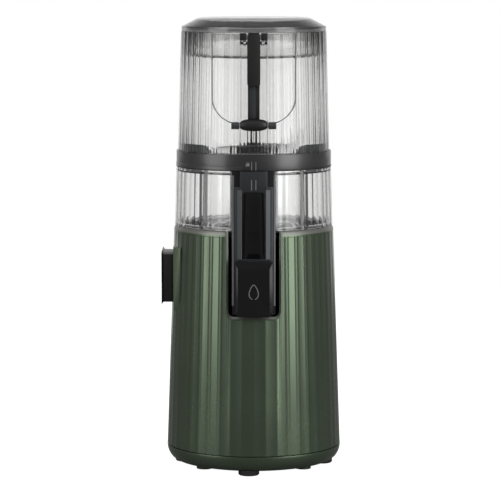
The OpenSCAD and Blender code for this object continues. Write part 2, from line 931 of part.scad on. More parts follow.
module gearbox_housing() {
    color("gainsboro") difference() {
        union() {
            difference() {
                slab(box_bottom_z, box_top_z) box_outline(0);
                slab(box_bottom_z + box_wall, box_top_z + lap) box_outline(-box_wall);
            }
            slab(box_bottom_z, box_bottom_z + box_wall) bell_outline();
            translate([0, gear_centre, 0])
                rod(axle_r + axle_boss_wall, box_bottom_z, fine_gear_z - seat_gap);
            difference() {
                at_cover_screws() rod(ear_r, box_bottom_z, box_top_z);
                slab(box_bottom_z - lap, box_top_z + lap) box_outline(-box_wall);
            }
        }
        rod(motor_shaft_r + shaft_hole_gap, box_bottom_z - lap, box_bottom_z + box_wall + lap);
        translate([0, gear_centre, 0]) rod(axle_r, box_bottom_z - lap, box_top_z);
        at_cover_screws() rod(cover_screw_r, box_top_z - cover_pilot_l, box_top_z + lap);
        at_bolts() rod(bolt_r, box_bottom_z - lap, box_bottom_z + box_wall + lap);
    }
}

module gearbox_cover() {
    color("gainsboro") difference() {
        union() {
            slab(box_top_z, cover_top_z) box_outline(0);
            at_cover_screws() rod(ear_r, box_top_z, cover_top_z);
            rod(shaft_r + bush_wall + cover_boss_wall, bush_lower_z, bush_upper_z);
            translate([0, gear_centre, 0])
                rod(axle_r + cover_boss_wall, coarse_gear_top_z + 2 * lap, box_top_z);
        }
        rod(shaft_r + bush_wall, bush_lower_z - lap, bush_upper_z + lap);
        translate([0, gear_centre, 0]) rod(axle_r, coarse_gear_top_z, box_top_z + lap);
        at_cover_screws() rod(cover_screw_r + fit, box_top_z - lap, cover_top_z + lap);
    }
}

module gearbox_screws() {
    color("silver") at_cover_screws() {
        rod(cover_screw_r, box_top_z - cover_screw_l, cover_top_z);
        rod(cover_screw_r * 2, cover_top_z, cover_top_z + cover_head_h);
    }
}

module output_bush() {
    color("peru") ring(shaft_r + bush_wall, shaft_r + run_gap, bush_lower_z, bush_upper_z);
}

module cluster_axle() {
    color("silver") translate([0, gear_centre, 0]) rod(axle_r, box_bottom_z, box_top_z + lap);
}

module motor_mounts() {
    color("black") for (side = [-1, 1]) for (y = [mount_front_y, mount_back_y])
        translate([side * mount_x, y, 0]) rod(mount_r, cover_top_z, post_top_z);
}

module bell_outline() {
    intersection() {
        square(stator_side, center = true);
        circle(r = bell_corner_r);
    }
}

// Motor end shield with its plate at the bottom or at the top, open to the coils
module end_bell(z_low, plate_low) {
    difference() {
        slab(z_low, z_low + bell_h) bell_outline();
        rod(coil_outer_r + lap, plate_low ? z_low + bell_t : z_low - lap,
            z_low + bell_h + (plate_low ? lap : -bell_t));
        rod(bearing_r, z_low - lap, z_low + bell_h + lap);
        at_bolts() rod(bolt_r + fit, z_low - lap, z_low + bell_h + lap);
        for (i = [0 : 3]) rotate(90 * i)
            block([-bell_slot_half_w, bearing_r, z_low + bell_slot_edge],
                  [bell_slot_half_w, cut_near, z_low + bell_h - bell_slot_edge]);
    }
}

module motor_bells() {
    color("silver") {
        end_bell(stator_top_z, false);
        ring(bearing_r + bell_t, bearing_r, box_bottom_z - bearing_seat_h, box_bottom_z - bell_t + eps);
        end_bell(motor_bottom_z, true);
        ring(bearing_r + bell_t, bearing_r, motor_bottom_z + bell_t - eps, motor_bottom_z + bearing_seat_h);
    }
}

module stator_stack() {
    color("slategray") difference() {
        slab(stator_bottom_z, stator_top_z) bell_outline();
        rod(rotor_r + air_gap, stator_bottom_z - lap, stator_top_z + lap);
        at_bolts() rod(bolt_r + fit, stator_bottom_z - lap, stator_top_z + lap);
    }
}

module stator_coils() {
    color("sienna") {
        ring(coil_outer_r, coil_inner_r, stator_bottom_z - coil_h, stator_bottom_z);
        ring(coil_outer_r, coil_inner_r, stator_top_z, stator_top_z + coil_h);
    }
}

module motor_bolts() {
    color("silver") at_bolts() {
        rod(bolt_r, motor_bottom_z, box_bottom_z + box_wall);
        rod(bolt_r * 2, motor_bottom_z - bolt_head_h, motor_bottom_z);
    }
}

module motor_bearings() {
    color("silver") {
        for (z = [motor_bottom_z + lap, box_bottom_z - lap - bearing_h])
            ring(bearing_r, motor_shaft_r + run_gap, z, z + bearing_h);
    }
}

module control_board() {
    color("seagreen") {
        block([board_x, -board_half_w, board_bottom_z],
              [board_x + board_t, board_half_w, board_bottom_z + board_h]);
        for (part = board_parts)
            block([board_x + board_t - eps, part[0], board_bottom_z + part[2]],
                  [board_x + board_t + part[4], part[1], board_bottom_z + part[3]]);
    }
}

// The bore through switch and bezel that the dial's spindle turns in
module spindle_bore() {
    bar_y(spindle_r + fit, bezel_back_y - switch_l - lap, bezel_front_y + lap, dial_z);
}

module switch_body() {
    color("black") difference() {
        block([-switch_half_w, bezel_back_y - switch_l, dial_z - switch_half_w],
              [switch_half_w, bezel_back_y, dial_z + switch_half_w]);
        spindle_bore();
    }
}

module dial_bezel() {
    color("black") difference() {
        bar_y(bezel_r, bezel_back_y, bezel_front_y, dial_z);
        spindle_bore();
    }
}

module cord_inlet() {
    color("black") difference() {
        union() {
            square_bar_y(inlet_half_w, inlet_in_y, inlet_out_y, inlet_z);
            bar_y(inlet_flange_r, casing_r_at(inlet_z), inlet_out_y, inlet_z);
        }
        bar_y(inlet_bore_r, inlet_in_y - lap, inlet_out_y + lap, inlet_z);
    }
}

module output_shaft() {
    color("silver") {
        rod(shaft_r, output_bottom_z, hex_bottom_z);
        translate([0, 0, hex_bottom_z - eps])
            cylinder(r = hex_r, h = hex_top_z - hex_bottom_z + eps, $fn = 6);
    }
}

module output_gear() {
    color("ivory") difference() {
        slab(coarse_gear_z, coarse_gear_top_z) gear(output_teeth, coarse_module, 180 / output_teeth);
        rod(shaft_r, coarse_gear_z - lap, coarse_gear_top_z + lap);
    }
}

module cluster_gear() {
    color("ivory") translate([0, gear_centre, 0]) difference() {
        union() {
            slab(fine_gear_z, fine_gear_top_z) gear(cluster_teeth, fine_module, 180 / cluster_teeth);
            slab(fine_gear_top_z - eps, coarse_gear_top_z + lap) gear(pinion_teeth, coarse_module, 0);
        }
        rod(axle_r + run_gap, fine_gear_z - lap, coarse_gear_top_z + 2 * lap);
    }
}

module motor_shaft() {
    color("silver") rod(motor_shaft_r, motor_shaft_bottom_z, fine_gear_top_z);
}

module motor_pinion() {
    color("goldenrod") difference() {
        slab(fine_gear_z, fine_gear_top_z) gear(pinion_teeth, fine_module, 0);
        rod(motor_shaft_r, fine_gear_z - lap, fine_gear_top_z + lap);
    }
}

module rotor_core() {
    color("slategray")
        ring(rotor_r, motor_shaft_r, stator_bottom_z - rotor_over, stator_top_z + rotor_over);
}

module cooling_fan() {
    color("gainsboro") {
        ring(fan_hub_r, motor_shaft_r, fan_bottom_z, fan_bottom_z + fan_h);
        for (i = [0 : fan_blades - 1]) rotate(360 * i / fan_blades)
            block([fan_hub_r - lap, -fan_t / 2, fan_bottom_z], [fan_r, fan_t / 2, fan_bottom_z + fan_h]);
        ring(fan_disc_r, fan_hub_r - lap, fan_bottom_z + fan_h - fan_t, fan_bottom_z + fan_h);
    }
}

module dial_knob() {
    color("dimgray") difference() {
        union() {
            bar_y(dial_r, bezel_front_y + clear, dial_face_y - dial_grip_h, dial_z);
            block([-dial_grip_half_w, dial_face_y - dial_grip_h - lap, dial_z - dial_grip_half_l],
                  [dial_grip_half_w, dial_face_y, dial_z + dial_grip_half_l]);
        }
        bar_y(spindle_r, bezel_front_y, spindle_end_y, dial_z);
    }
}

module dial_spindle() {
    color("silver") bar_y(spindle_r, bezel_back_y - switch_l + spindle_r, spindle_end_y, dial_z);
}

// ---------- chamber ----------

// The stretch of a tube about the drive axis that lies in front, out to half_w each side
module front_arc(r_out, r_in, half_w, z_low, z_high) {
    intersection() {
        ring(r_out, r_in, z_low, z_high);
        block([-half_w, -cut_far, z_low - lap], [half_w, 0, z_high + lap]);
    }
}

module passage(grow, x_low, x_high) {
    block([-x_high, -passage_half_w - grow, pulp_z - passage_half_h - grow],
          [-x_low, passage_half_w + grow, pulp_z + passage_half_h + grow]);
}

module chamber_bowl() {
    color("lightgray", 0.4) difference() {
        union() {
            rod(bowl_r + bowl_wall, bowl_bottom_z, ledge_z);
            passage(duct_wall, bowl_r - lap, duct_mouth_x);
        }
        difference() {
            rod(bowl_r, bowl_bottom_z + bowl_floor_t, ledge_z + lap);
            rod(hub_r, bowl_bottom_z, hub_top_z);
        }
        rod(hub_r - hub_wall, bowl_bottom_z - lap, hub_top_z + lap);
        rod(well_hub_r + well_hub_play, bowl_bottom_z - lap, bowl_bottom_z + lap);
        passage(0, 0, duct_mouth_x + lap);
        bar_y(tube_r, -cut_far, -mesh_r - frame_t, tube_z);
    }
}

// The ledge around the bowl's rim, and the skirt that centres the chamber in the well
module chamber_ledge() {
    color("lightgray", 0.4) difference() {
        union() {
            ring(skirt_r, bowl_r + bowl_wall, ledge_z - ledge_t, ledge_z + eps);
            ring(skirt_r, skirt_r - chamber_wall, ledge_z, chamber_foot_z);
        }
        block([-frame_half_w, -cut_far, ledge_z - ledge_t - lap],
              [frame_half_w, -skirt_r + skirt_flat, chamber_foot_z + lap]);
    }
}

// The fluted wall on the skirt, with the bayonet neck on top and the sleeve hanging inside
module chamber_drum() {
    color("lightgray", 0.4) {
        ring(sleeve_r, sleeve_r - sleeve_wall, sleeve_foot_z, chamber_top_z);
        ring(neck_r - neck_wall + lap, sleeve_r - eps, chamber_top_z - chamber_top_t, chamber_top_z);
    }
    color("lightgray", 0.4) difference() {
        union() {
            fluted_cone(chamber_r, chamber_top_r, clear_flute_depth, chamber_foot_z, chamber_top_z);
            rod(neck_r, chamber_top_z - lap, neck_top_z);
            for (i = [0 : lug_count - 1]) intersection() {
                rod(neck_r + tab_reach, tab_z, tab_z + tab_h);
                wedge(lug_angle + 360 * i / lug_count, lug_span);
            }
        }
        rod(skirt_r - chamber_wall, chamber_foot_z - lap, skirt_top_z + eps);
        translate([0, 0, skirt_top_z]) cylinder(r1 = chamber_r - chamber_wall - clear_flute_depth,
            r2 = chamber_top_r - chamber_wall, h = chamber_top_z - chamber_top_t - skirt_top_z);
        rod(neck_r - neck_wall, chamber_top_z - chamber_top_t - lap, neck_top_z + lap);
        block([-frame_half_w, -cut_far, chamber_foot_z - lap],
              [frame_half_w, -neck_r, chamber_top_z + lap]);
    }
}

// A slice of angle span, centred on turn
module wedge(turn, span) {
    rotate(turn) slab(0, cut_high) polygon([[0, 0], polar(cut_far, -span / 2), polar(cut_far, span / 2)]);
}

module front_frame() {
    color("black") difference() {
        union() {
            front_arc(frame_outer_r, frame_inner_r, frame_half_w, frame_bottom_z, chamber_foot_z);
            intersection() {
                front_arc(frame_outer_r, neck_r, frame_half_w, chamber_foot_z - eps, chamber_top_z);
                block([-frame_half_w, -cut_far, 0], [frame_half_w, -neck_r, cut_high]);
            }
            for (side = [-1, 1]) difference() {
                block([side * web_x - web_t / 2, -frame_inner_r - lap, web_bottom_z],
                      [side * web_x + web_t / 2, -bowl_r, web_top_z]);
                rod(bowl_r + bowl_wall, 0, cut_high);
            }
        }
        bar_y(tube_r, -cut_far, -bowl_r, tube_z);
    }
}

module column_arc(half_w, z_low, z_high) {
    front_arc(column_r, frame_outer_r, half_w, z_low, z_high);
}

module panel_prism() {
    translate([0, -cut_near, 0]) rotate([90, 0, 0]) linear_extrude(height = cut_far - cut_near) {
        translate([-panel_half_w, panel_bottom_z])
            square([2 * panel_half_w, panel_top_z - panel_corner_r - panel_bottom_z]);
        translate([panel_corner_r - panel_half_w, panel_bottom_z])
            square([2 * (panel_half_w - panel_corner_r), panel_top_z - panel_bottom_z]);
        for (side = [-1, 1])
            translate([side * (panel_half_w - panel_corner_r), panel_top_z - panel_corner_r])
                circle(r = panel_corner_r);
    }
}

module front_column() {
    color("dimgray") difference() {
        union() {
            column_arc(column_half_w, column_bottom_z, column_neck_z);
            column_arc(column_neck_half_w, column_neck_z - eps, chamber_top_z);
            difference() {
                union() {
                    block([-lug_w / 2, -lever_pivot_y, lever_pivot_z - pivot_boss_r],
                          [lug_w / 2, -column_r + lap, lever_pivot_z + pivot_boss_r]);
                    bar_x(pivot_boss_r, lug_w / 2, -lever_pivot_y, lever_pivot_z);
                }
                bar_x(lever_pin_r, lug_w, -lever_pivot_y, lever_pivot_z);
            }
        }
        intersection() {
            ring(cut_far, column_r - panel_depth, 0, cut_high);
            panel_prism();
        }
        bar_y(tube_r, -cut_far, -cut_near, tube_z);
    }
}

module column_panel() {
    color("black") intersection() {
        ring(column_r - panel_inset, column_r - panel_depth, 0, cut_high);
        panel_prism();
    }
}

module juice_tube() {
    color("black") difference() {
        bar_y(tube_r, -tube_end_y, -tube_start_y, tube_z);
        bar_y(tube_r - tube_wall, -tube_end_y - lap, -tube_start_y + lap, tube_z);
    }
}

module lever_pin() {
    color("silver") bar_x(lever_pin_r, lever_pin_half_l, -lever_pivot_y, lever_pivot_z);
}

module strainer_frame() {
    color("darkgray") difference() {
        union() {
            ring(bowl_r + flange_over, mesh_r, ledge_z, ledge_z + frame_t);
            ring(mesh_r + frame_t, mesh_r, ledge_z - hoop_h, ledge_z + eps);
            ring(mesh_r + frame_t, mesh_r, strainer_bottom_z, strainer_bottom_z + hoop_h);
            ring(mesh_r + frame_t, hub_r + lap, strainer_bottom_z, strainer_bottom_z + frame_t);
            for (i = [0 : strainer_ribs - 1]) rotate(180 / strainer_ribs + 360 * i / strainer_ribs)
                block([mesh_r, -rib_w / 2, strainer_bottom_z], [mesh_r + frame_t, rib_w / 2, ledge_z]);
            difference() {
                passage(duct_wall - clear, strainer_r, duct_end_x);
                rod(mesh_r, 0, cut_high);
            }
        }
        passage(0, 0, cut_far);
    }
}

module strainer_mesh() {
    color("silver") difference() {
        ring(mesh_r, strainer_r, strainer_bottom_z + frame_t, ledge_z + frame_t);
        passage(0, 0, cut_far);
    }
}

// ---------- juice lever ----------

// Side view of the lever's box, whose back edge leans forward at the top
module lever_outline() {
    polygon([[-lever_front_y, lever_bottom_z], [-lever_back_y, lever_bottom_z],
             [-lever_back_y, lever_top_z - lever_lean_h],
             [-lever_back_y - lever_lean, lever_top_z], [-lever_front_y, lever_top_z]]);
}

module juice_lever() {
    inner = lever_half_w - lever_wall;
    color("black") difference() {
        union() {
            difference() {
                translate([-lever_half_w, 0, 0]) rotate([90, 0, 90])
                    linear_extrude(height = 2 * lever_half_w) lever_outline();
                block([-inner, -lever_front_y + lever_wall, lever_bottom_z + lever_wall],
                      [inner, -lever_back_y + lap, lever_top_z - lever_wall]);
            }
            bar_y(lever_post_r, -lever_front_y + lap, -tube_end_y - lever_seal_t, tube_z);
        }
        block([-lug_slot / 2, -lever_front_y + lever_wall, lever_top_z - lever_lean_h],
              [lug_slot / 2, -lever_back_y + lap, lever_top_z + lap]);
        bar_x(lever_pin_r + run_gap, lever_pin_half_l, -lever_pivot_y, lever_pivot_z);
    }
}

module lever_seal() {
    color("gray") bar_y(lever_seal_r, -tube_end_y - lever_seal_t, -tube_end_y - seal_touch, tube_z);
}

// ---------- pulp outlet ----------

module square_ring(half_out, half_in, x_low, x_high) {
    difference() {
        block([-x_high, -half_out, pulp_z - half_out], [-x_low, half_out, pulp_z + half_out]);
        block([-x_high - lap, -half_in, pulp_z - half_in], [-x_low + lap, half_in, pulp_z + half_in]);
    }
}

// The outlet's lip, a frame that leans outwards
module flared_lip() {
    inner = pulp_half_w - casing_wall;
    difference() {
        translate([-pulp_end_x, 0, pulp_z]) rotate([0, -90, 0]) linear_extrude(
            height = pulp_lip_l, scale = (pulp_half_w + pulp_lip_flare) / pulp_half_w)
            square(2 * pulp_half_w, center = true);
        translate([-pulp_end_x + eps, 0, pulp_z]) rotate([0, -90, 0]) linear_extrude(
            height = pulp_lip_l + 2 * eps, scale = (pulp_half_w + pulp_lip_flare - pulp_lip_t) / inner)
            square(2 * inner, center = true);
    }
}

module pulp_outlet() {
    color("black") {
        square_ring(pulp_half_w, pulp_half_w - casing_wall, outlet_inner_x, pulp_end_x + eps);
        flared_lip();
        difference() {
            block([-outlet_inner_x - pulp_back_t, -pulp_half_w + lap, pulp_z - pulp_half_w + lap],
                  [-outlet_inner_x, pulp_half_w - lap, pulp_z + pulp_half_w - lap]);
            passage(0, 0, cut_far);
        }
    }
}

module pulp_seal() {
    color("gray") difference() {
        passage(duct_wall, outlet_inner_x - seal_t, outlet_inner_x);
        passage(0, 0, cut_far);
    }
}

// ---------- auger ----------

// One helical flight, a strip of four-cornered rings from foot to top
// A closed skin over sections that follow one another, each with the same number of points
module skin(sections) {
    n = len(sections[0]);
    last = n * (len(sections) - 1);
    sides = [
        for (i = [0 : len(sections) - 2]) for (j = [0 : n - 1])
            let (a = n * i + j)
            let (b = n * i + (j + 1) % n)
            each [[a, b, b + n], [a, b + n, a + n]]
    ];
    ends = [for (j = [1 : n - 2]) each [[0, j + 1, j], [last, last + j, last + j + 1]]];
    polyhedron([for (section = sections) each section], concat(sides, ends));
}

module flight(turn) {
    rise = flight_top_z - auger_bottom_z - flight_foot_t;
    skin([
        for (i = [0 : flight_rings])
            let (share = i / flight_rings)
            let (a = turn + 360 * flight_turns * share)
            let (z = auger_bottom_z + flight_foot_t / 2 + rise * share)
            let (inner = auger_head_r - flight_root)
            [[inner * cos(a), inner * sin(a), z - flight_foot_t / 2],
             [flight_r * cos(a), flight_r * sin(a), z - flight_rim_t / 2],
             [flight_r * cos(a), flight_r * sin(a), z + flight_rim_t / 2],
             [inner * cos(a), inner * sin(a), z + flight_foot_t / 2]]
    ]);
}

module auger() {
    color("dimgray") difference() {
        union() {
            translate([0, 0, auger_bottom_z])
                cylinder(r1 = auger_core_r, r2 = auger_head_r, h = auger_neck_z - auger_bottom_z);
            rod(auger_head_r, auger_neck_z - eps, auger_head_z);
            for (i = [0 : flight_count - 1]) flight(360 * i / flight_count);
        }
        rod(bush_r, auger_bottom_z - lap, bush_top_z);
    }
}

module auger_bush() {
    color("silver") difference() {
        rod(bush_r, auger_bottom_z, bush_top_z);
        translate([0, 0, auger_bottom_z - lap])
            cylinder(r = hex_r + hex_gap, h = socket_top_z - auger_bottom_z + lap, $fn = 6);
    }
}

// An upright plate with its outline in the XZ plane
module blade(outline) {
    translate([0, wing_t / 2, 0]) rotate([90, 0, 0]) linear_extrude(height = wing_t) polygon(outline);
}

// The hub on the auger's head with its spindle, a tall sweeping blade and a short one
module cutting_wing() {
    color("gray") {
        translate([0, 0, auger_head_z]) cylinder(r1 = auger_head_r, r2 = wing_hub_r, h = head_h);
        rod(auger_spindle_r, auger_head_z + head_h - eps, spindle_top_z);
        blade([[0, auger_head_z + eps], [wing_r, wing_foot_z], [wing_r, wing_top_z],
               [wing_r - wing_tip_w, wing_top_z], [wing_r - wing_sweep, wing_top_z - wing_sweep],
               [wing_heel_r, auger_head_z + head_h]]);
        rotate(180) blade([[0, auger_head_z + eps], [paddle_r, wing_foot_z],
                           [paddle_r, wing_foot_z + paddle_h],
                           [wing_heel_r, auger_head_z + head_h - 2 * lap]]);
    }
}

// ---------- hopper ----------

module hopper_wall_solid(z_low) {
    difference() {
        fluted_cone(hopper_r_at(z_low), hopper_top_r, clear_flute_depth, z_low, hopper_top_z);
        translate([0, 0, z_low - eps]) cylinder(r1 = hopper_r_at(z_low) - hopper_wall,
            r2 = hopper_top_r - hopper_wall, h = hopper_top_z - z_low + 2 * eps);
    }
}

module door_shape(grow, top) {
    half = door_half_w + grow;
    low = door_bottom_z - grow;
    corner = door_corner_r + grow;
    for (side = [-1, 1]) translate([side * (half - corner), low + corner]) circle(r = corner);
    translate([-half, low + corner]) square([2 * half, top - low - corner]);
    translate([corner - half, low]) square([2 * (half - corner), top - low]);
}

module door_prism(grow, top) {
    rotate([90, 0, 0]) linear_extrude(height = cut_far) door_shape(grow, top);
}

module hopper_shell() {
    color("lightgray", 0.4) {
        difference() {
            union() {
                hopper_wall_solid(collar_top_z);
                ring(collar_r - collar_wall, neck_r - neck_wall, hopper_ledge_z, collar_top_z);
                ring(collar_r - collar_wall, neck_r + neck_play, hopper_foot_z, hopper_ledge_z + eps);
            }
            door_prism(door_gap, hopper_top_z + lap);
        }
        difference() {
            union() {
                bar_x(knuckle_r, knuckle_end_x, -hinge_y, hinge_z);
                block([-knuckle_end_x, -hinge_y, hinge_z - knuckle_r],
                      [knuckle_end_x, -knuckle_root_y, hinge_z]);
            }
            block([-barrel_half_w - clear, -cut_far, 0], [barrel_half_w + clear, 0, cut_high]);
            hopper_cone(-lap);
            bar_x(pin_r, knuckle_end_x + lap, -hinge_y, hinge_z);
        }
    }
}

module collar_ring() {
    inner = collar_r - collar_wall;
    color("gray") {
        ring(collar_r, inner, collar_bottom_z, collar_top_z);
        for (i = [0 : lug_count - 1]) intersection() {
            ring(inner + lap / 2, neck_r + clear, collar_bottom_z + fit, tab_z - fit);
            wedge(lug_angle + 360 * i / lug_count, lug_span);
        }
    }
}

module hopper_seal() {
    color("whitesmoke")
        ring(neck_r - seal_inset, neck_r - neck_wall + seal_inset, neck_top_z + seal_inset, hopper_ledge_z);
}

// Two dark sickle blocks on the hopper's floor that steer the food to the auger
module feed_guides() {
    color("dimgray") for (side = [0, 180]) intersection() {
        translate([0, 0, collar_top_z]) difference() {
            cylinder(r = guide_outer_r, h = guide_h);
            translate([0, 0, -lap]) cylinder(r1 = guide_foot_r, r2 = guide_crest_r, h = guide_h + 2 * lap);
        }
        wedge(side, 2 * guide_span);
    }
}

module hinge_pin() {
    color("silver") bar_x(pin_r, knuckle_end_x, -hinge_y, hinge_z);
}

// ---------- feed door and its latch ----------

module feed_door() {
    color("lightgray", 0.4) intersection() {
        hopper_wall_solid(collar_top_z);
        door_prism(0, door_top_z);
    }
}

module door_barrel() {
    color("black") difference() {
        union() {
            bar_x(barrel_r, barrel_half_w, -hinge_y, hinge_z);
            difference() {
                block([-barrel_half_w, -hinge_y, door_bottom_z + clear],
                      [barrel_half_w, -knuckle_root_y, housing_bottom_z]);
                hopper_cone(0);
            }
        }
        bar_x(pin_r + run_gap, barrel_half_w + lap, -hinge_y, hinge_z);
    }
}

// Clear channel on the door's face that carries the latch handle
module latch_housing() {
    color("lightgray", 0.4) difference() {
        union() {
            for (side = [0, 1]) mirror([side, 0, 0]) {
                block([housing_half_w - housing_wall, -housing_reach, housing_bottom_z],
                      [housing_half_w, -housing_root_y, door_top_z]);
                block([handle_half_w + seat_gap, -housing_reach, block_bottom_z],
                      [housing_half_w - housing_wall + eps, -handle_back_y, block_top_z]);
            }
        }
        hopper_cone(0);
        bar_x(latch_pin_r + run_gap, housing_half_w + lap, -latch_pivot_y, latch_pivot_z);
    }
}

module latch_handle() {
    color("black") {
        block([-handle_half_w, -handle_front_y, handle_bottom_z + handle_corner_r],
              [handle_half_w, -handle_back_y, handle_top_z]);
        block([handle_corner_r - handle_half_w, -handle_front_y, handle_bottom_z],
              [handle_half_w - handle_corner_r, -handle_back_y, handle_top_z]);
        for (side = [-1, 1]) translate([side * (handle_half_w - handle_corner_r), 0, 0])
            bar_y(handle_corner_r, -handle_front_y, -handle_back_y, handle_bottom_z + handle_corner_r);
        block([-handle_half_w + lap, -handle_back_y - nose_l, handle_top_z - lap],
              [handle_half_w - lap, -handle_back_y - nose_set, handle_nose_top_z]);
        bar_x(latch_pin_r, housing_half_w - fit, -latch_pivot_y, latch_pivot_z);
    }
}

// Torsion spring wound on the latch's pin, in a pocket beside the handle
module coil(radius, wire, pitch, turns) {
    skin([
        for (i = [0 : coil_steps * turns])
            let (a = 360 * i / coil_steps)
            let (z = pitch * (i / coil_steps - turns / 2))
            [for (j = [0 : wire_sides - 1])
                let (r = radius + wire * cos(360 * j / wire_sides))
                [r * cos(a), r * sin(a), z + wire * sin(360 * j / wire_sides)]]
    ]);
}

module latch_spring() {
    color("silver") for (side = [-1, 1]) translate([side * spring_x, -latch_pivot_y, latch_pivot_z])
        rotate([0, 90, 0])
            coil(latch_pin_r + spring_wire_r + fit, spring_wire_r, spring_pitch, spring_turns);
}

// ---------- lid ----------

module lid_rim() {
    color("dimgray") difference() {
        union() {
            ring(lid_r, lid_rim_in_r, hopper_top_z, lid_top_z);
            block([-catch_half_w, -catch_y, hopper_top_z + catch_lift],
                  [catch_half_w, -lid_rim_in_r - lap, lid_top_z - catch_drop]);
        }
    }
}

// A cone from the rim to the shoulder, then a soft turn into the flat top
function dome_outline(inset) = concat(
    [[0, 0], [lid_r - dome_edge - inset, 0]],
    [for (i = [0 : dome_steps])
        let (t = i / dome_steps)
        let (a = [dome_shoulder_r, dome_shoulder_h])
        let (b = [(dome_shoulder_r + dome_flat_r) / 2, dome_h])
        let (c = [dome_flat_r, dome_h])
        (1 - t) * (1 - t) * a + 2 * t * (1 - t) * b + t * t * c - [inset, inset]],
    [[0, dome_h - inset]]
);

module lid_dome() {
    color("gray", 0.6) translate([0, 0, lid_top_z]) difference() {
        rotate_extrude() polygon(dome_outline(0));
        translate([0, 0, -eps]) rotate_extrude() polygon(dome_outline(dome_t));
    }
}

function dish_outline(inset) = concat(
    [[0, dish_bottom_z + inset]],
    [for (a = [0 : 15 : 90])
        [dish_r - dish_round + (dish_round - inset) * sin(a),
         dish_bottom_z + dish_round - (dish_round - inset) * cos(a)]],
    [[dish_r - inset, lid_top_z - 1], [0, lid_top_z - 1]]
);

module lid_dish() {
    color("lightgray", 0.4) difference() {
        rotate_extrude() polygon(dish_outline(0));
        rotate_extrude() polygon(dish_outline(dish_t));
        rod(dish_r - dish_t, lid_top_z - 2, lid_top_z);
        ring(lid_r + 1, lid_rim_in_r, hopper_top_z, lid_top_z);
    }
}

body_shell();
base_tray();
rubber_feet();
casing_screws();
chamber_well();
shaft_seal();
gearbox_housing();
gearbox_cover();
gearbox_screws();
output_bush();
cluster_axle();
motor_mounts();
motor_bells();
stator_stack();
stator_coils();
motor_bolts();
motor_bearings();
control_board();
switch_body();
dial_bezel();
cord_inlet();
output_shaft();
output_gear();
cluster_gear();
motor_shaft();
motor_pinion();
rotor_core();
cooling_fan();
dial_knob();
dial_spindle();
chamber_bowl();
chamber_ledge();
chamber_drum();
front_frame();
front_column();
column_panel();
juice_tube();
lever_pin();
strainer_frame();
strainer_mesh();
juice_lever();
lever_seal();
pulp_outlet();
pulp_seal();
auger();
auger_bush();
cutting_wing();
hopper_shell();
collar_ring();
hopper_seal();
feed_guides();
hinge_pin();
feed_door();
door_barrel();
latch_housing();
latch_handle();
latch_spring();
lid_dome();
lid_rim();
lid_dish();
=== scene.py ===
"""Looks of an upright cold press juicer, built around its packed construction, in metres."""

import math

import bmesh
import bpy
from mathutils import Matrix, Vector


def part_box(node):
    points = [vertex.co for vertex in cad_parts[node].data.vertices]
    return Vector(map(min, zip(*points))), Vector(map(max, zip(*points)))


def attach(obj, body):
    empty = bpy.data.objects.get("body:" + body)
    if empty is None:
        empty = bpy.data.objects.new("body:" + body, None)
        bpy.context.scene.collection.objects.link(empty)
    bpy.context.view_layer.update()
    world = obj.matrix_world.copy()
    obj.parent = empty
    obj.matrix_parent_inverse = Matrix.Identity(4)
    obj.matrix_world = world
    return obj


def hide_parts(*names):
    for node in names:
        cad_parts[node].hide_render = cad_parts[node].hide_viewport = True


bl_info = {
    "name": "Upright cold press juicer",
    "version": (1, 0, 0),
    "blender": (4, 5, 0),
    "location": "View3D > Sidebar > Juicer",
    "description": "Builds the juicer's shells, clear walls, controls and finishes around its frame",
    "category": "Add Mesh",
}

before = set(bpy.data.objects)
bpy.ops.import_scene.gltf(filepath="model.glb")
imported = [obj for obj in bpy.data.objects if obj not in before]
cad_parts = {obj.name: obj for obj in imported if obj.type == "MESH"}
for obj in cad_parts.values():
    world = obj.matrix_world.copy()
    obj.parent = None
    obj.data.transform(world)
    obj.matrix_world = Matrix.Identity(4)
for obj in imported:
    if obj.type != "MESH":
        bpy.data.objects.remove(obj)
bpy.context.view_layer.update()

MM = 0.001
TAU = 2 * math.pi
FRONT = -math.pi / 2
NEAR = 0.05 * MM
CUT_FROM, CUT_TO = 60 * MM, 120 * MM  # a cutting tool's reach from the drive axis, through any wall
RIM_BAND = 6 * MM  # height of the smooth band at the casing's rim
NOTCH_HALF, NOTCH_CORNER = 25 * MM, 5 * MM
NOTCH_GAP = 1.7 * MM  # free height under the front frame
DOOR_CORNER = 26 * MM
TAB_TURNS = (30, 150, 270)  # the middles of the neck's bayonet tabs, in degrees
SIDES = (("left", -1), ("right", 1))


# ---------- places, read from the frame ----------

def low(node):
    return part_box(node)[0]


def high(node):
    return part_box(node)[1]


def radii(node, z_from, z_to):
    """Least and greatest distance from the drive axis of a node's points between two heights."""
    found = [
        math.hypot(v.co.x, v.co.y)
        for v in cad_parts[node].data.vertices
        if z_from - NEAR <= v.co.z <= z_to + NEAR
    ]
    if not found:
        raise ValueError(f"{node} has no points between {z_from} and {z_to}")
    return min(found), max(found)


def outer_r(node, z):
    return radii(node, z, z)[1]


def inner_r(node, z):
    return radii(node, z, z)[0]


# ---------- values that a user would change ----------

def length_prop(name, default, description):
    return bpy.props.FloatProperty(name=name, description=description, default=default, unit="LENGTH")


def power_prop(name, default, description):
    return bpy.props.FloatProperty(name=name, description=description, default=default, unit="POWER")


def colour_prop(name, default, description):
    return bpy.props.FloatVectorProperty(
        name=name, description=description, default=default, subtype="COLOR", min=0, max=1)


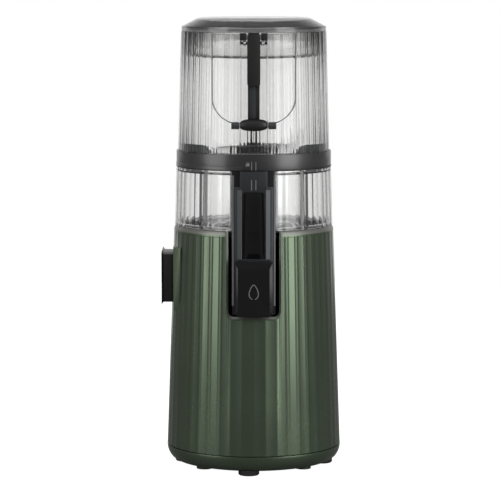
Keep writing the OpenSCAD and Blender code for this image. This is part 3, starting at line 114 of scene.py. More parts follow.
class JuicerSizes(bpy.types.PropertyGroup):
    """Sizes of the details that the looks add."""

    flute_count: bpy.props.IntProperty(
        name="Flutes", description="Hollows around the casing and the clear walls",
        default=46, min=36, max=60)
    casing_flute_depth: length_prop("Casing flute depth", 0.35 * MM, "Depth of one flute on the casing")
    clear_flute_depth: length_prop("Clear flute depth", 0.4 * MM, "Depth of one flute on the clear walls")
    reed_depth: length_prop("Reed depth", 0.2 * MM, "Depth of the fine reeds inside the hopper")
    casing_wall: length_prop("Casing wall", 3 * MM, "Thickness of the green shells")
    notch_border: length_prop("Notch border", 3.4 * MM, "Width of the smooth border around the front notch")
    lever_chamfer: length_prop("Lever chamfer", 3.2 * MM, "Width of the chamfer around the lever's face")
    edge: length_prop("Edge rounding", 0.5 * MM, "Width of the rounding on moulded edges")
    mark_line: length_prop("Mark line", 0.7 * MM, "Width of the printed lines and marks")


class JuicerColours(bpy.types.PropertyGroup):
    """Base colours of the finishes."""

    green: colour_prop("Green shell", (0.11, 0.144, 0.098), "Colour of the casing and its tray")
    black: colour_prop("Black", (0.007, 0.007, 0.0075), "Colour of the black mouldings")
    dark: colour_prop("Dark satin", (0.062, 0.066, 0.07), "Colour of the satin dark grey mouldings")
    grey: colour_prop("Grey satin", (0.075, 0.076, 0.075), "Colour of the collar")
    clear: colour_prop("Clear plastic", (0.9, 0.9, 0.897), "Tint of the clear walls")
    tinted: colour_prop("Hopper plastic", (0.815, 0.815, 0.812), "Tint of the hopper's and the door's walls")
    smoke: colour_prop("Smoked plastic", (0.74, 0.74, 0.74), "Tint of the lid's dome and the cutting wing")
    deep: colour_prop("Deep smoke", (0.34, 0.34, 0.34), "Tint of the lid's rim")
    # The trim colour is a painted highlight on the rim's and the notch's bevel.
    trim: colour_prop("Trim", (0.18, 0.183, 0.166), "Colour of the pale bevel along the rim and the notch")
    mark: colour_prop("Marks", (0.2, 0.2, 0.2), "Colour of the printed lines and marks")
    floor: colour_prop("Floor", (0.22, 0.22, 0.22), "Colour of the studio floor")


class JuicerStudio(bpy.types.PropertyGroup):
    """Camera and light."""

    distance: length_prop("Camera distance", 2.5, "From the camera to the drive axis")
    eye: length_prop("Camera height", 0.495, "Height of the camera above the floor")
    aim: length_prop("Aim height", 0.218, "Height on the drive axis that the camera looks at")
    aside: length_prop("Aim aside", 3.8 * MM, "How far left of the drive axis the camera looks")
    view_height: length_prop("View height", 0.5088, "Height of the picture at the drive axis")
    key_power: power_prop("Key power", 6.4, "Power of the large soft box on the right")
    fill_power: power_prop("Fill power", 4.4, "Power of the large soft box on the left")
    rim_power: power_prop("Rim power", 0.8, "Power of each of the two soft boxes behind")


GROUPS_OF_VALUES = {
    "juicer_sizes": JuicerSizes,
    "juicer_colours": JuicerColours,
    "juicer_studio": JuicerStudio,
}


# ---------- mesh tools ----------

def link(name, data):
    piece = bpy.data.objects.new(name, data)
    bpy.context.scene.collection.objects.link(piece)
    return piece


def as_object(name, bm, outwards=True):
    """A new object from a bmesh, its faces turned outwards unless they already are."""
    if outwards:
        bmesh.ops.recalc_face_normals(bm, faces=bm.faces)
    mesh = bpy.data.meshes.new(name)
    bm.to_mesh(mesh)
    bm.free()
    return link(name, mesh)


def finish(piece, body, slot_name, nodes=(), angle=30):
    """Gives a piece its shading, finish, body and the nodes it stands for. Edges past angle stay sharp."""
    piece.data.shade_smooth()
    piece.data.set_sharp_from_angle(angle=math.radians(angle))
    piece.data.materials.clear()
    piece.data.materials.append(finishes()[slot_name])
    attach(piece, body)
    if nodes:
        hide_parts(*nodes)
    return piece


def bevel(bm, edges, width, segments=1):
    return bmesh.ops.bevel(
        bm, geom=edges, offset=width, offset_type="OFFSET", segments=segments, profile=0.5,
        affect="EDGES", material=-1, clamp_overlap=True)


def sharp_edges(bm, angle):
    """The edges where two faces meet at more than angle degrees."""
    limit = math.radians(angle)
    return [e for e in bm.edges if len(e.link_faces) == 2 and e.calc_face_angle(0) > limit]


def turned(bm, degrees, axis="Z"):
    turn = Matrix.Rotation(math.radians(degrees), 3, axis)
    bmesh.ops.rotate(bm, verts=bm.verts, cent=(0, 0, 0), matrix=turn)


def round_edges(bm, width, segments=2, angle=35):
    """Rounds the edges where faces meet at more than angle degrees, and marks them for wear and a painted
    edge highlight.
    """
    done = bevel(bm, sharp_edges(bm, angle), width, segments)
    layer = bm.verts.layers.float.get("edge_wear") or bm.verts.layers.float.new("edge_wear")
    rounded = set(done["faces"])
    for vert in done["verts"]:
        if vert.is_valid and all(face in rounded for face in vert.link_faces):
            vert[layer] = 1.0


def mark_cuts(bm):
    """Chamfers a clear wall's cut edges, and marks the faces that don't look along the wall's way for a
    painted dark shade.
    """
    bevel(bm, sharp_edges(bm, 45), 0.5 * MM)
    layer, along_wall = bm.faces.layers.float.new("cut_edge"), 0.93
    for face in bm.faces:
        away = (face.calc_center_median() * Vector((1, 1, 0))).normalized()
        face[layer] = float(abs(face.normal.dot(away)) < along_wall)


def mark_level(bm, bottom, top):
    """Marks the level faces of a clear wall's flange between two heights for a painted shadow."""
    layer, painted_shadow = bm.faces.layers.float.new("cut_edge"), 0.8
    for face in bm.faces:
        if bottom < face.calc_center_median().z < top and abs(face.normal.z) > 0.5:
            face[layer] = painted_shadow


def rework(piece, change):
    """Runs a change on the piece's mesh."""
    bm = bmesh.new()
    bm.from_mesh(piece.data)
    change(bm)
    bm.to_mesh(piece.data)
    bm.free()


def cad_copy(node):
    """A merged copy of a node's mesh, with the triangles of each flat joined into one face."""
    bm = bmesh.new()
    bm.from_mesh(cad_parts[node].data)
    bmesh.ops.remove_doubles(bm, verts=bm.verts, dist=NEAR / 5)
    bmesh.ops.dissolve_limit(
        bm, angle_limit=math.radians(1), verts=bm.verts, edges=bm.edges, use_dissolve_boundaries=False)
    return bm


def settle(piece):
    """Applies the piece's modifiers to its mesh."""
    depsgraph = bpy.context.evaluated_depsgraph_get()
    mesh = bpy.data.meshes.new_from_object(piece.evaluated_get(depsgraph))
    piece.modifiers.clear()
    old = piece.data
    piece.data = mesh
    bpy.data.meshes.remove(old)


def carve(piece, tool, operation="DIFFERENCE"):
    """Cuts a tool object out of the piece, or joins it to the piece, and takes the tool away."""
    modifier = piece.modifiers.new("Carve", "BOOLEAN")
    modifier.object = tool
    modifier.operation = operation
    modifier.solver = "EXACT"
    settle(piece)
    bpy.data.objects.remove(tool)


def box_bm(corner, opposite):
    """A box between two opposite corners."""
    bm = bmesh.new()
    start, end = (Vector([pick(pair) for pair in zip(corner, opposite)]) for pick in (min, max))
    place = Matrix.Translation((start + end) / 2) @ Matrix.Diagonal((*(end - start), 1))
    bmesh.ops.create_cube(bm, size=1, matrix=place)
    return bm


def box_tool(corner, opposite):
    return as_object("tool", box_bm(corner, opposite))


def upright_u(half_w, bottom, top, corner, y_to, segments=12):
    """A block from in front of the juicer back to y_to, its two lower edges rounded."""
    bm = box_bm((-half_w, -CUT_TO, bottom), (half_w, y_to, top))
    lower = [
        e for e in bm.edges
        if all(abs(v.co.z - bottom) < NEAR for v in e.verts)
        and abs(e.verts[0].co.x - e.verts[1].co.x) < NEAR
    ]
    bevel(bm, lower, corner, segments)
    return as_object("tool", bm)


def bar(r, start, end, segments=48):
    """A round bar between two points, as a bmesh."""
    bm = bmesh.new()
    a, b = Vector(start), Vector(end)
    turn = (b - a).to_track_quat("Z", "Y").to_matrix().to_4x4()
    bmesh.ops.create_cone(
        bm, cap_ends=True, segments=segments, radius1=r, radius2=r, depth=(b - a).length,
        matrix=Matrix.Translation((a + b) / 2) @ turn)
    return bm


def bar_tool(r, start, end, segments=64):
    return as_object("tool", bar(r, start, end, segments))


def fall(turn, count, depth):
    """How far a fluted surface lies inside its crests at an angle, with a softly rounded crest."""
    share = ((turn - FRONT) * count / TAU) % 1.0
    away = min(share, 1 - share)
    soft = 0.03
    away = math.sqrt(away * away + soft * soft) - soft
    return 4 * depth * away * (1 - away)


def place_ring(verts, z, r, depth=0.0, count=1, plain_half_w=0.0):
    """Puts a ring's points at height z and radius r. The flutes stop within plain_half_w in front."""
    for v in verts:
        turn = math.atan2(v.co.y, v.co.x)
        plain = v.co.y < 0 and abs(r * math.cos(turn)) < plain_half_w
        reach = r if plain or depth == 0 else r - fall(turn, count, depth)
        v.co = (reach * math.cos(turn), reach * math.sin(turn), z)


def ring_wall(levels, segments):
    """A closed wall around the drive axis through the rings given, each (z, r, depth, count, plain)."""
    bm = bmesh.new()
    verts = bmesh.ops.create_circle(bm, segments=segments, radius=1)["verts"]
    edges = list({e for v in verts for e in v.link_edges})
    place_ring(verts, *levels[0])
    for level in [*levels[1:], levels[0]]:
        grown = bmesh.ops.extrude_edge_only(bm, edges=edges)["geom"]
        verts = [g for g in grown if isinstance(g, bmesh.types.BMVert)]
        made = set(verts)
        edges = [
            g for g in grown if isinstance(g, bmesh.types.BMEdge) and all(v in made for v in g.verts)
        ]
        place_ring(verts, *level)
    bmesh.ops.remove_doubles(bm, verts=bm.verts, dist=NEAR / 50)
    return bm


def lathe(outline, segments=192, turn=TAU):
    """A closed outline of (r, z) points spun about the drive axis."""
    bm = bmesh.new()
    verts = [bm.verts.new((r, 0, z)) for r, z in outline]
    edges = [bm.edges.new(pair) for pair in zip(verts, verts[1:])]
    if min(outline[0][0], outline[-1][0]) > NEAR:
        edges.append(bm.edges.new((verts[-1], verts[0])))
    bmesh.ops.spin(
        bm, geom=verts + edges, cent=(0, 0, 0), axis=(0, 0, 1), dvec=(0, 0, 0), angle=turn,
        steps=segments, use_merge=True, use_duplicate=False)
    bmesh.ops.remove_doubles(bm, verts=bm.verts, dist=NEAR / 50)
    return bm


def part_ring(outline, segments, span, middle):
    """A closed outline of (r, z) points spun through an arc about a middle angle, with closed ends."""
    bm = lathe(outline, segments, math.radians(span))
    turned(bm, middle - span / 2)
    bmesh.ops.holes_fill(bm, edges=bm.edges, sides=8)
    return bm


def arc(centre, r, start, end, steps=8):
    """Points of an arc about a centre in a plane, with its angles in degrees."""
    turns = [math.radians(start + (end - start) * i / steps) for i in range(steps + 1)]
    return [(centre[0] + r * math.cos(t), centre[1] + r * math.sin(t)) for t in turns]


def u_path(half, bottom, corner, heights, foot_xs, steps):
    """Points (x, z) of an upright U from its left end round to its right end, with outward ways."""
    path = [((-half, z), (-1, 0)) for z in heights]
    for side, start in ((-1, 180), (1, 270)):
        centre = (side * (half - corner), bottom + corner)
        path += zip(arc(centre, corner, start, start + 90, steps), arc((0, 0), 1, start, start + 90, steps))
        if side < 0:
            path += [((x, bottom), (0, -1)) for x in foot_xs]
    return path + [((half, z), (1, 0)) for z in reversed(heights)]


def follow(path, profile, wall_r):
    """Sections of a strip along the path on a round wall. The profile has (outward, inset) points."""
    sections = []
    for (x, z), (way_x, way_z) in path:
        section = []
        for away, inset in profile:
            px, pz = x + away * way_x, z + away * way_z
            r = wall_r(pz) - inset
            section.append((px, -math.sqrt(r * r - px * px), pz))
        sections.append(section)
    return sections


def sweep(sections):
    """A closed bar whose outline runs through the sections given, each a loop of points."""
    bm = bmesh.new()
    verts = [bm.verts.new(point) for point in sections[0]]
    edges = [bm.edges.new(pair) for pair in zip(verts, verts[1:] + verts[:1])]
    bm.faces.new(verts)
    for section in sections[1:]:
        grown = bmesh.ops.extrude_edge_only(bm, edges=edges)["geom"]
        made = {g for g in grown if isinstance(g, bmesh.types.BMVert)}
        verts = [
            next(e.other_vert(v) for e in v.link_edges if e.other_vert(v) in made) for v in verts
        ]
        for vert, point in zip(verts, section):
            vert.co = point
        edges = [bm.edges.get(pair) for pair in zip(verts, verts[1:] + verts[:1])]
    bm.faces.new(verts)
    return bm


def side_strips(name, outline, levels, body, slot_name):
    """An upright strip on each side, its right one's (x, y) outline swept up through (z, y share)."""
    for side_name, side in SIDES:
        sections = [[(side * x, y * share, z) for x, y in outline] for z, share in levels]
        finish(as_object(f"{name}_{side_name}", sweep(sections)), body, slot_name)


def plate(name, corner, opposite, width):
    """A block with all its edges rounded."""
    bm = box_bm(corner, opposite)
    bevel(bm, bm.edges, width, 2)
    return as_object(name, bm)


# ---------- shader tools ----------

def add(tree, kind, inputs=None, **settings):
    """Adds a node, sets it up, and links or sets its inputs."""
    node = tree.nodes.new(kind)
    for key, value in settings.items():
        setattr(node, key, value)
    for key, value in (inputs or {}).items():
        if isinstance(value, bpy.types.NodeSocket):
            tree.links.new(value, node.inputs[key])
        else:
            node.inputs[key].default_value = value
    return node


def math_node(tree, operation, a, b=0.0, clamp=False):
    return add(tree, "ShaderNodeMath", {0: a, 1: b}, operation=operation, use_clamp=clamp).outputs[0]


def mix_colour(tree, factor, a, b):
    """Colour a where factor is 0, b where it is 1."""
    return add(tree, "ShaderNodeMix", {0: factor, 6: a, 7: b}, data_type="RGBA").outputs[2]


def spread(tree, value, from_low, from_high, to_low=0.0, to_high=1.0):
    return add(tree, "ShaderNodeMapRange", {
        "Value": value, "From Min": from_low, "From Max": from_high,
        "To Min": to_low, "To Max": to_high,
    }).outputs[0]


def noise(tree, vector, scale, detail=2.0, rough=0.5):
    node = add(tree, "ShaderNodeTexNoise", {
        "Vector": vector, "Scale": scale, "Detail": detail, "Roughness": rough})
    return node.outputs["Fac"]


def effect(name, inputs, outputs):
    """A new shader node group with its named sockets, and its input and output nodes."""
    tree = bpy.data.node_groups.new(name, "ShaderNodeTree")
    for label, kind, default in inputs:
        socket = tree.interface.new_socket(label, in_out="INPUT", socket_type=kind)
        if default is not None:
            socket.default_value = default
    for label, kind in outputs:
        tree.interface.new_socket(label, in_out="OUTPUT", socket_type=kind)
    return tree, tree.nodes.new("NodeGroupInput"), tree.nodes.new("NodeGroupOutput")


VECTOR, FLOAT, COLOUR = "NodeSocketVector", "NodeSocketFloat", "NodeSocketColor"
EFFECTS = {}
FINISHES = {}


def moulded_grain():
    """Fine spark-eroded grain of a mould, plus the faint waviness of a large wall."""
    tree, start, end = effect(
        "moulded grain", [("Vector", VECTOR, None), ("Grain", FLOAT, 3500.0), ("Wave", FLOAT, 0.3)],
        [("Height", FLOAT)])
    fine = noise(tree, start.outputs["Vector"], start.outputs["Grain"], 3.0, 0.6)
    wide = noise(tree, start.outputs["Vector"], 60.0, 1.0)
    waved = math_node(tree, "MULTIPLY", wide, start.outputs["Wave"])
    tree.links.new(math_node(tree, "ADD", fine, waved), end.inputs["Height"])
    return tree


def handling():
    """Roughness that changes where hands and cloths have been, with hairline rub marks."""
    tree, start, end = effect(
        "handling", [("Vector", VECTOR, None), ("Low", FLOAT, 0.3), ("High", FLOAT, 0.4)],
        [("Roughness", FLOAT)])
    patches = spread(tree, noise(tree, start.outputs["Vector"], 22.0, 3.0, 0.55), 0.35, 0.68)
    strokes = add(tree, "ShaderNodeMapping", {
        "Vector": start.outputs["Vector"], "Rotation": (0.3, 0.2, 0.7), "Scale": (900.0, 900.0, 45.0)})
    hair = spread(tree, noise(tree, strokes.outputs[0], 1.0, 2.0, 0.7), 0.66, 0.74)
    mixed = math_node(tree, "ADD", math_node(tree, "MULTIPLY", patches, 0.8),
                      math_node(tree, "MULTIPLY", hair, 0.1), clamp=True)
    rough = spread(tree, mixed, 0.0, 1.0, start.outputs["Low"], start.outputs["High"])
    tree.links.new(rough, end.inputs["Roughness"])
    return tree


def colour_drift():
    """The small difference in shade across a moulding, and lighter edges that are partly wear and partly a
    painted highlight.
    """
    tree, start, end = effect(
        "colour drift",
        [("Vector", VECTOR, None), ("Colour", COLOUR, (0.5, 0.5, 0.5, 1)), ("Drift", FLOAT, 0.1),
         ("Worn", FLOAT, 0.3)],
        [("Colour", COLOUR)])
    cloud = noise(tree, start.outputs["Vector"], 9.0, 3.0, 0.5)
    fleck = noise(tree, start.outputs["Vector"], 1200.0, 1.0)
    shade = math_node(tree, "ADD", math_node(tree, "MULTIPLY", cloud, 0.75),
                      math_node(tree, "MULTIPLY", fleck, 0.25))
    centred = math_node(tree, "SUBTRACT", shade, 0.5)
    gain = math_node(tree, "ADD", math_node(tree, "MULTIPLY", centred, start.outputs["Drift"]), 1.0)
    drifted = add(tree, "ShaderNodeVectorMath", {0: start.outputs["Colour"], "Scale": gain},
                  operation="SCALE")
    # Rounded edges are made lighter: partly wear, partly a painted highlight.
    worn_lit_edge = add(tree, "ShaderNodeAttribute", attribute_name="edge_wear").outputs["Fac"]
    broken = spread(tree, noise(tree, start.outputs["Vector"], 260.0, 3.0, 0.6), 0.4, 0.62)
    edge = math_node(tree, "MULTIPLY", math_node(tree, "MULTIPLY", worn_lit_edge, broken), start.outputs["Worn"])
    lighter = add(tree, "ShaderNodeVectorMath", {0: drifted.outputs[0], "Scale": 2.2}, operation="SCALE")
    tree.links.new(mix_colour(tree, edge, drifted.outputs[0], lighter.outputs[0]), end.inputs["Colour"])
    return tree


def drawn_lines():
    """Fine lines along one axis of the vector, as on turned, ground or laminated metal."""
    tree, start, end = effect(
        "drawn lines", [("Vector", VECTOR, None), ("Along", VECTOR, (40.0, 40.0, 2500.0))],
        [("Height", FLOAT)])
    stretched = add(tree, "ShaderNodeVectorMath", {
        0: start.outputs["Vector"], 1: start.outputs["Along"]}, operation="MULTIPLY")
    tree.links.new(noise(tree, stretched.outputs[0], 1.0, 3.0, 0.6), end.inputs["Height"])
    return tree


def settled_dust():
    """A mask of light dust in patches on upward faces."""
    tree, start, end = effect("settled dust", [("Vector", VECTOR, None)], [("Mask", FLOAT)])
    normal = add(tree, "ShaderNodeNewGeometry").outputs["Normal"]
    up = add(tree, "ShaderNodeSeparateXYZ", {0: normal}).outputs["Z"]
    facing = spread(tree, up, 0.55, 1.0)
    patch = spread(tree, noise(tree, start.outputs["Vector"], 130.0, 4.0, 0.65), 0.5, 0.72)
    tree.links.new(math_node(tree, "MULTIPLY", facing, patch), end.inputs["Mask"])
    return tree


def effects():
    """The shared effects, built once."""
    if not EFFECTS:
        for build in (moulded_grain, handling, colour_drift, drawn_lines, settled_dust):
            EFFECTS[build.__name__] = build()
    return EFFECTS


def use(tree, name, inputs):
    return add(tree, "ShaderNodeGroup", inputs, node_tree=effects()[name])


def blank(name, constants):
    """A new material with its shader's plain values set, its tree, shader and object coordinates."""
    material = bpy.data.materials.new(name)
    material.use_nodes = True
    tree = material.node_tree
    shader = tree.nodes["Principled BSDF"]
    for key, value in constants.items():
        shader.inputs[key].default_value = value
    place = tree.nodes.new("ShaderNodeTexCoord").outputs["Object"]
    return material, tree, shader, place


def bump(tree, shader, height, distance, strength=0.5):
    node = add(tree, "ShaderNodeBump", {"Height": height, "Distance": distance, "Strength": strength})
    tree.links.new(node.outputs[0], shader.inputs["Normal"])


def coloured(name, colour, rough, drift, worn, constants):
    """A new material with its handled roughness: its parts, and its colour as it drifts, wears and takes a
    painted edge highlight.
    """
    material, tree, shader, place = blank(name, constants)
    tint = use(tree, "colour_drift", {
        "Vector": place, "Colour": (*colour, 1), "Drift": drift, "Worn": worn})
    hands = use(tree, "handling", {"Vector": place, "Low": rough[0], "High": rough[1]})
    tree.links.new(hands.outputs["Roughness"], shader.inputs["Roughness"])
    return material, tree, shader, place, tint.outputs["Colour"]


def moulding(name, colour, rough, grain=3500.0, depth=0.02 * MM, drift=0.12, worn=0.3, wave=0.3,
             dusty=0.0, relief=0.25, **constants):
    """An opaque moulded, painted or rubber surface."""
    material, tree, shader, place, base = coloured(name, colour, rough, drift, worn, constants)
    if dusty:
        dust = use(tree, "settled_dust", {"Vector": place}).outputs["Mask"]
        base = mix_colour(tree, math_node(tree, "MULTIPLY", dust, dusty), base, (0.42, 0.4, 0.37, 1))
    tree.links.new(base, shader.inputs["Base Color"])
    skin = use(tree, "moulded_grain", {"Vector": place, "Grain": grain, "Wave": wave})
    bump(tree, shader, skin.outputs["Height"], depth, relief)
    return material


def metal(name, colour, rough, along, depth=0.01 * MM):
    """Turned, ground or cast metal with fine lines."""
    material, tree, shader, place, base = coloured(name, colour, rough, 0.15, 0.2, {"Metallic": 1.0})
    tree.links.new(base, shader.inputs["Base Color"])
    lines = use(tree, "drawn_lines", {"Vector": place, "Along": along})
    bump(tree, shader, lines.outputs["Height"], depth)
    return material


def clear(name, colour, rough, rim=0.0):
    """Clear or smoked plastic with moulding waviness, painted dark shade on its marked faces and, by rim, a
    painted dark outline where the surface turns edge-on.
    """
    material, tree, shader, place, tint = coloured(
        name, colour, rough, 0.04, 0.0, {"Transmission Weight": 1.0, "IOR": 1.49})
    # The marked faces take a painted dark shade.
    cut = add(tree, "ShaderNodeAttribute", attribute_name="cut_edge").outputs["Fac"]
    # A painted dark outline where the surface turns edge-on, scaled by rim.
    turned_away = add(tree, "ShaderNodeLayerWeight", {"Blend": 0.5}).outputs["Facing"]
    outline = math_node(tree, "MULTIPLY", spread(tree, turned_away, 0.5, 0.57), rim)
    dark = math_node(tree, "MAXIMUM", cut, outline)
    # The marked faces and the outline are painted shade: the tint turns near black there.
    tree.links.new(mix_colour(tree, dark, tint, (0.03, 0.03, 0.031, 1)), shader.inputs["Base Color"])
    skin = use(tree, "moulded_grain", {"Vector": place, "Grain": 90.0, "Wave": 1.0})
    bump(tree, shader, skin.outputs["Height"], 0.006 * MM, 0.3)
    return material


def finishes():
    """Every finish by the name of its material slot, built once."""
    if FINISHES:
        return FINISHES
    values = bpy.context.scene.juicer_colours
    colours = {key: tuple(getattr(values, key)) for key in JuicerColours.__annotations__}
    black, dark = colours["black"], colours["dark"]
    painted = {"depth": 0.006 * MM, "relief": 0.1}
    gloss = {"depth": 0.004 * MM}
    FINISHES.update({
        "green_shell": moulding("green shell", colours["green"], (0.24, 0.3), **painted, dusty=0.04,
                                Metallic=0.85),
        # The trim's paler finish is a painted highlight on the green bevels.
        "trim": moulding("brushed trim", colours["trim"], (0.34, 0.44), **painted, Metallic=0.6),
        "black_gloss": moulding("black gloss", black, (0.07, 0.16), **gloss, worn=0.5, wave=1.0, IOR=1.4),
        "dark_gloss": moulding("dark gloss", black, (0.04, 0.1), **gloss, worn=0.2),
        "black_plastic": moulding("black plastic", black, (0.38, 0.5), grain=2600.0),
        "dark_satin": moulding("dark satin", dark, (0.32, 0.42), Metallic=0.5),
        # A darker copy of the dark satin for the column: painted shade beside the satin bevels.
        "deep_satin": moulding("deep satin", tuple(0.55 * c for c in dark), (0.28, 0.38), Metallic=0.3),
        "grey_satin": moulding("grey satin", colours["grey"], (0.24, 0.32), Metallic=0.75),
        "print": moulding("printed mark", colours["mark"], (0.45, 0.55), worn=0.0),
        "clear_plastic": clear("clear plastic", colours["clear"], (0.015, 0.05)),
        # The sleeve's plastic has the painted dark outline.
        "sleeve_clear": clear("sleeve plastic", colours["clear"], (0.02, 0.06), rim=1.0),
        "tinted_clear": clear("tinted clear plastic", colours["tinted"], (0.015, 0.05)),
        "smoke_plastic": clear("smoke plastic", colours["smoke"], (0.1, 0.2)),
        "deep_smoke": clear("deep smoke", colours["deep"], (0.12, 0.2)),
        "rubber": moulding("rubber", (0.02, 0.02, 0.021), (0.7, 0.85), grain=1800.0, drift=0.2, dusty=0.2),
        "silicone": moulding("silicone", (0.62, 0.62, 0.6), (0.4, 0.55), grain=1500.0),
        "white_nylon": moulding("white nylon", (0.72, 0.71, 0.67), (0.35, 0.48), grain=1200.0, drift=0.08),
        "fibre_board": moulding("fibre board", (0.02, 0.12, 0.05), (0.35, 0.5), grain=900.0, drift=0.25),
        "steel": metal("steel", (0.56, 0.56, 0.57), (0.22, 0.36), (40.0, 40.0, 2500.0)),
        "mesh_steel": metal("mesh steel", (0.5, 0.5, 0.52), (0.28, 0.42), (60.0, 60.0, 1500.0)),
        "alloy": metal("cast alloy", (0.42, 0.43, 0.44), (0.42, 0.58), (700.0, 700.0, 700.0), 0.05 * MM),
        "bronze": metal("bronze", (0.43, 0.27, 0.12), (0.35, 0.5), (1500.0, 1500.0, 1500.0)),
        "copper": metal("copper", (0.6, 0.25, 0.12), (0.25, 0.4), (300.0, 300.0, 2200.0), 0.1 * MM),
        "laminated_steel": metal("laminated steel", (0.25, 0.26, 0.28), (0.4, 0.55), (20.0, 20.0, 2000.0),
                                 0.08 * MM),
    })
    return FINISHES


# ---------- pieces ----------

def casing():
    """The fluted green casing with its rim trim in a paler finish as a painted highlight, its side pad,
    notch and openings.
    """
    sizes = bpy.context.scene.juicer_sizes
    foot, foot_r, rim_z, rim_r, top = casing_profile()
    wall, depth, count = sizes.casing_wall, sizes.casing_flute_depth, sizes.flute_count
    seam = top - 4.2 * MM
    trim = as_object("rim_trim", lathe([
        (rim_r - wall, seam), (rim_r - 0.1 * MM, seam), (rim_r - 0.15 * MM, seam + 0.3 * MM),
        (rim_r - 0.5 * MM, seam + 2 * MM), (rim_r - 1.3 * MM, top - 0.8 * MM),
        (rim_r - 2 * MM, top), (rim_r - wall, top)]))
    cut_half = NOTCH_HALF + 1.9 * MM
    carve(trim, box_tool((-cut_half, -CUT_TO, notch_foot()), (cut_half, -CUT_FROM, top + MM)))
    finish(trim, "base", "trim", angle=24)
    shell = as_object("casing_shell", ring_wall([
        (foot, foot_r - 0.4 * MM, depth, count),
        (foot + 0.5 * MM, foot_r, depth, count),
        (rim_z - 0.4 * MM, rim_r, depth, count),
        (rim_z, rim_r),
        (seam, rim_r),
        (seam, rim_r - wall),
        (foot, foot_r - wall),
    ], 16 * count))
    pad(shell)
    cut_front(shell)
    cut_openings(shell)
    rework(shell, lambda bm: round_edges(bm, sizes.edge, angle=50))
    finish(shell, "base", "green_shell", ["body_shell"], 24)
    border()


def casing_profile():
    """The casing's foot and its radius there, the rim band's foot and its radius, and the top."""
    node = "body_shell"
    foot, top = low(node).z, high(node).z
    rim_z = top - RIM_BAND
    return foot, outer_r(node, foot), rim_z, outer_r(node, rim_z), top


def pad(shell):
    """Joins the flat side pad to the casing, its edges slanting back to the wall."""
    middle = (low("pulp_outlet").z + high("pulp_outlet").z) / 2
    half_h, half_w, slant = 32 * MM, 29 * MM, 7.5 * MM
    face, back = -81 * MM, -70 * MM
    bm = box_bm((face, -half_w - slant, middle - half_h), (back, half_w + slant, middle + half_h))
    for v in bm.verts:
        if v.co.x < face + NEAR:
            v.co.y = math.copysign(half_w, v.co.y)
        else:
            v.co.x = face + slant
    carve(shell, as_object("tool", bm), "UNION")


def notch_foot():
    return low("front_frame").z - NOTCH_GAP


def cut_front(shell):
    """Cuts the notch, wider by what the border fills."""
    lap, above = 0.6 * MM, 300 * MM  # well over the casing's rim
    fill = bpy.context.scene.juicer_sizes.notch_border - lap
    carve(shell, upright_u(NOTCH_HALF + fill, notch_foot() - fill, above, NOTCH_CORNER + fill, -CUT_FROM))


def border():
    """The smooth green border around the notch, and the pale bevel into the gap, its paler finish a painted
    highlight.
    """
    foot, foot_r, rim_z, rim_r, top = casing_profile()
    reach, bright_w = bpy.context.scene.juicer_sizes.notch_border, 2.1 * MM
    plain = [
        (reach, 1.4 * MM), (reach, 0.3 * MM), (reach - 0.3 * MM, 0.0), (bright_w + 0.2 * MM, 0.0),
        (bright_w, 0.2 * MM), (bright_w, 3 * MM), (reach, 3 * MM)]
    bright = [
        (bright_w, 3 * MM), (bright_w, 0.2 * MM), (bright_w - 0.2 * MM, 0.05 * MM), (0.3 * MM, 1.1 * MM),
        (0.0, 1.5 * MM), (0.0, 3 * MM)]

    def wall_r(z):
        if z <= rim_z:
            return foot_r + (rim_r - foot_r) * (z - foot) / (rim_z - foot)
        return rim_r - 0.6 * MM * max(0.0, (z - top + 2 * MM) / (2 * MM))

    bottom, flat = notch_foot(), NOTCH_HALF - NOTCH_CORNER
    heights = (top, top - 2 * MM, top - RIM_BAND, bottom + NOTCH_CORNER + MM)
    path = u_path(NOTCH_HALF, bottom, NOTCH_CORNER, heights, [flat * i / 6 for i in range(-5, 6)], 8)
    for name, slot_name, profile in (
            ("notch_border", "green_shell", plain), ("notch_trim", "trim", bright)):
        finish(as_object(name, sweep(follow(path, profile, wall_r))), "base", slot_name, angle=24)


def cut_openings(shell):
    """The pulp outlet's window and the two holes at the back."""
    tube_half, inlet_half = 24.5 * MM, 8 * MM
    middle = (low("pulp_outlet").z + high("pulp_outlet").z) / 2
    carve(shell, box_tool((-CUT_TO, -tube_half, middle - tube_half),
                          (-CUT_FROM, tube_half, middle + tube_half)))
    dial_foot, dial_top = low("dial_bezel").z, high("dial_bezel").z
    dial_z = (dial_foot + dial_top) / 2
    carve(shell, bar_tool((dial_top - dial_foot) / 2, (0, CUT_FROM, dial_z), (0, CUT_TO, dial_z)))
    inlet_z = (low("cord_inlet").z + high("cord_inlet").z) / 2
    carve(shell, box_tool((-inlet_half, CUT_FROM, inlet_z - inlet_half),
                          (inlet_half, CUT_TO, inlet_z + inlet_half)))


def dressed_copy(name, node, body, slot_name, width, segments=2):
    """A copy of a node with its moulded edges rounded, which stands for the node."""
    bm = cad_copy(node)
    round_edges(bm, width, segments)
    return finish(as_object(name, bm, outwards=False), body, slot_name, [node])


def base_parts():
    """The tray under the casing, its feet, the chamber's well and the inlet at the back."""
    dressed_copy("tray", "base_tray", "base", "green_shell", 0.3 * MM)
    dressed_copy("foot_pads", "rubber_feet", "base", "rubber", 0.6 * MM)
    dressed_copy("cord_inlet_sleeve", "cord_inlet", "base", "black_plastic", 0.5 * MM)
    dressed_copy("well_cup", "chamber_well", "base", "black_plastic", 0.3 * MM)


def dial():
    """The control dial at the back, in its bezel."""
    dressed_copy("dial_ring", "dial_bezel", "base", "black_gloss", 0.6 * MM)
    dressed_copy("dial_cap", "dial_knob", "dial", "dark_satin", 0.6 * MM)


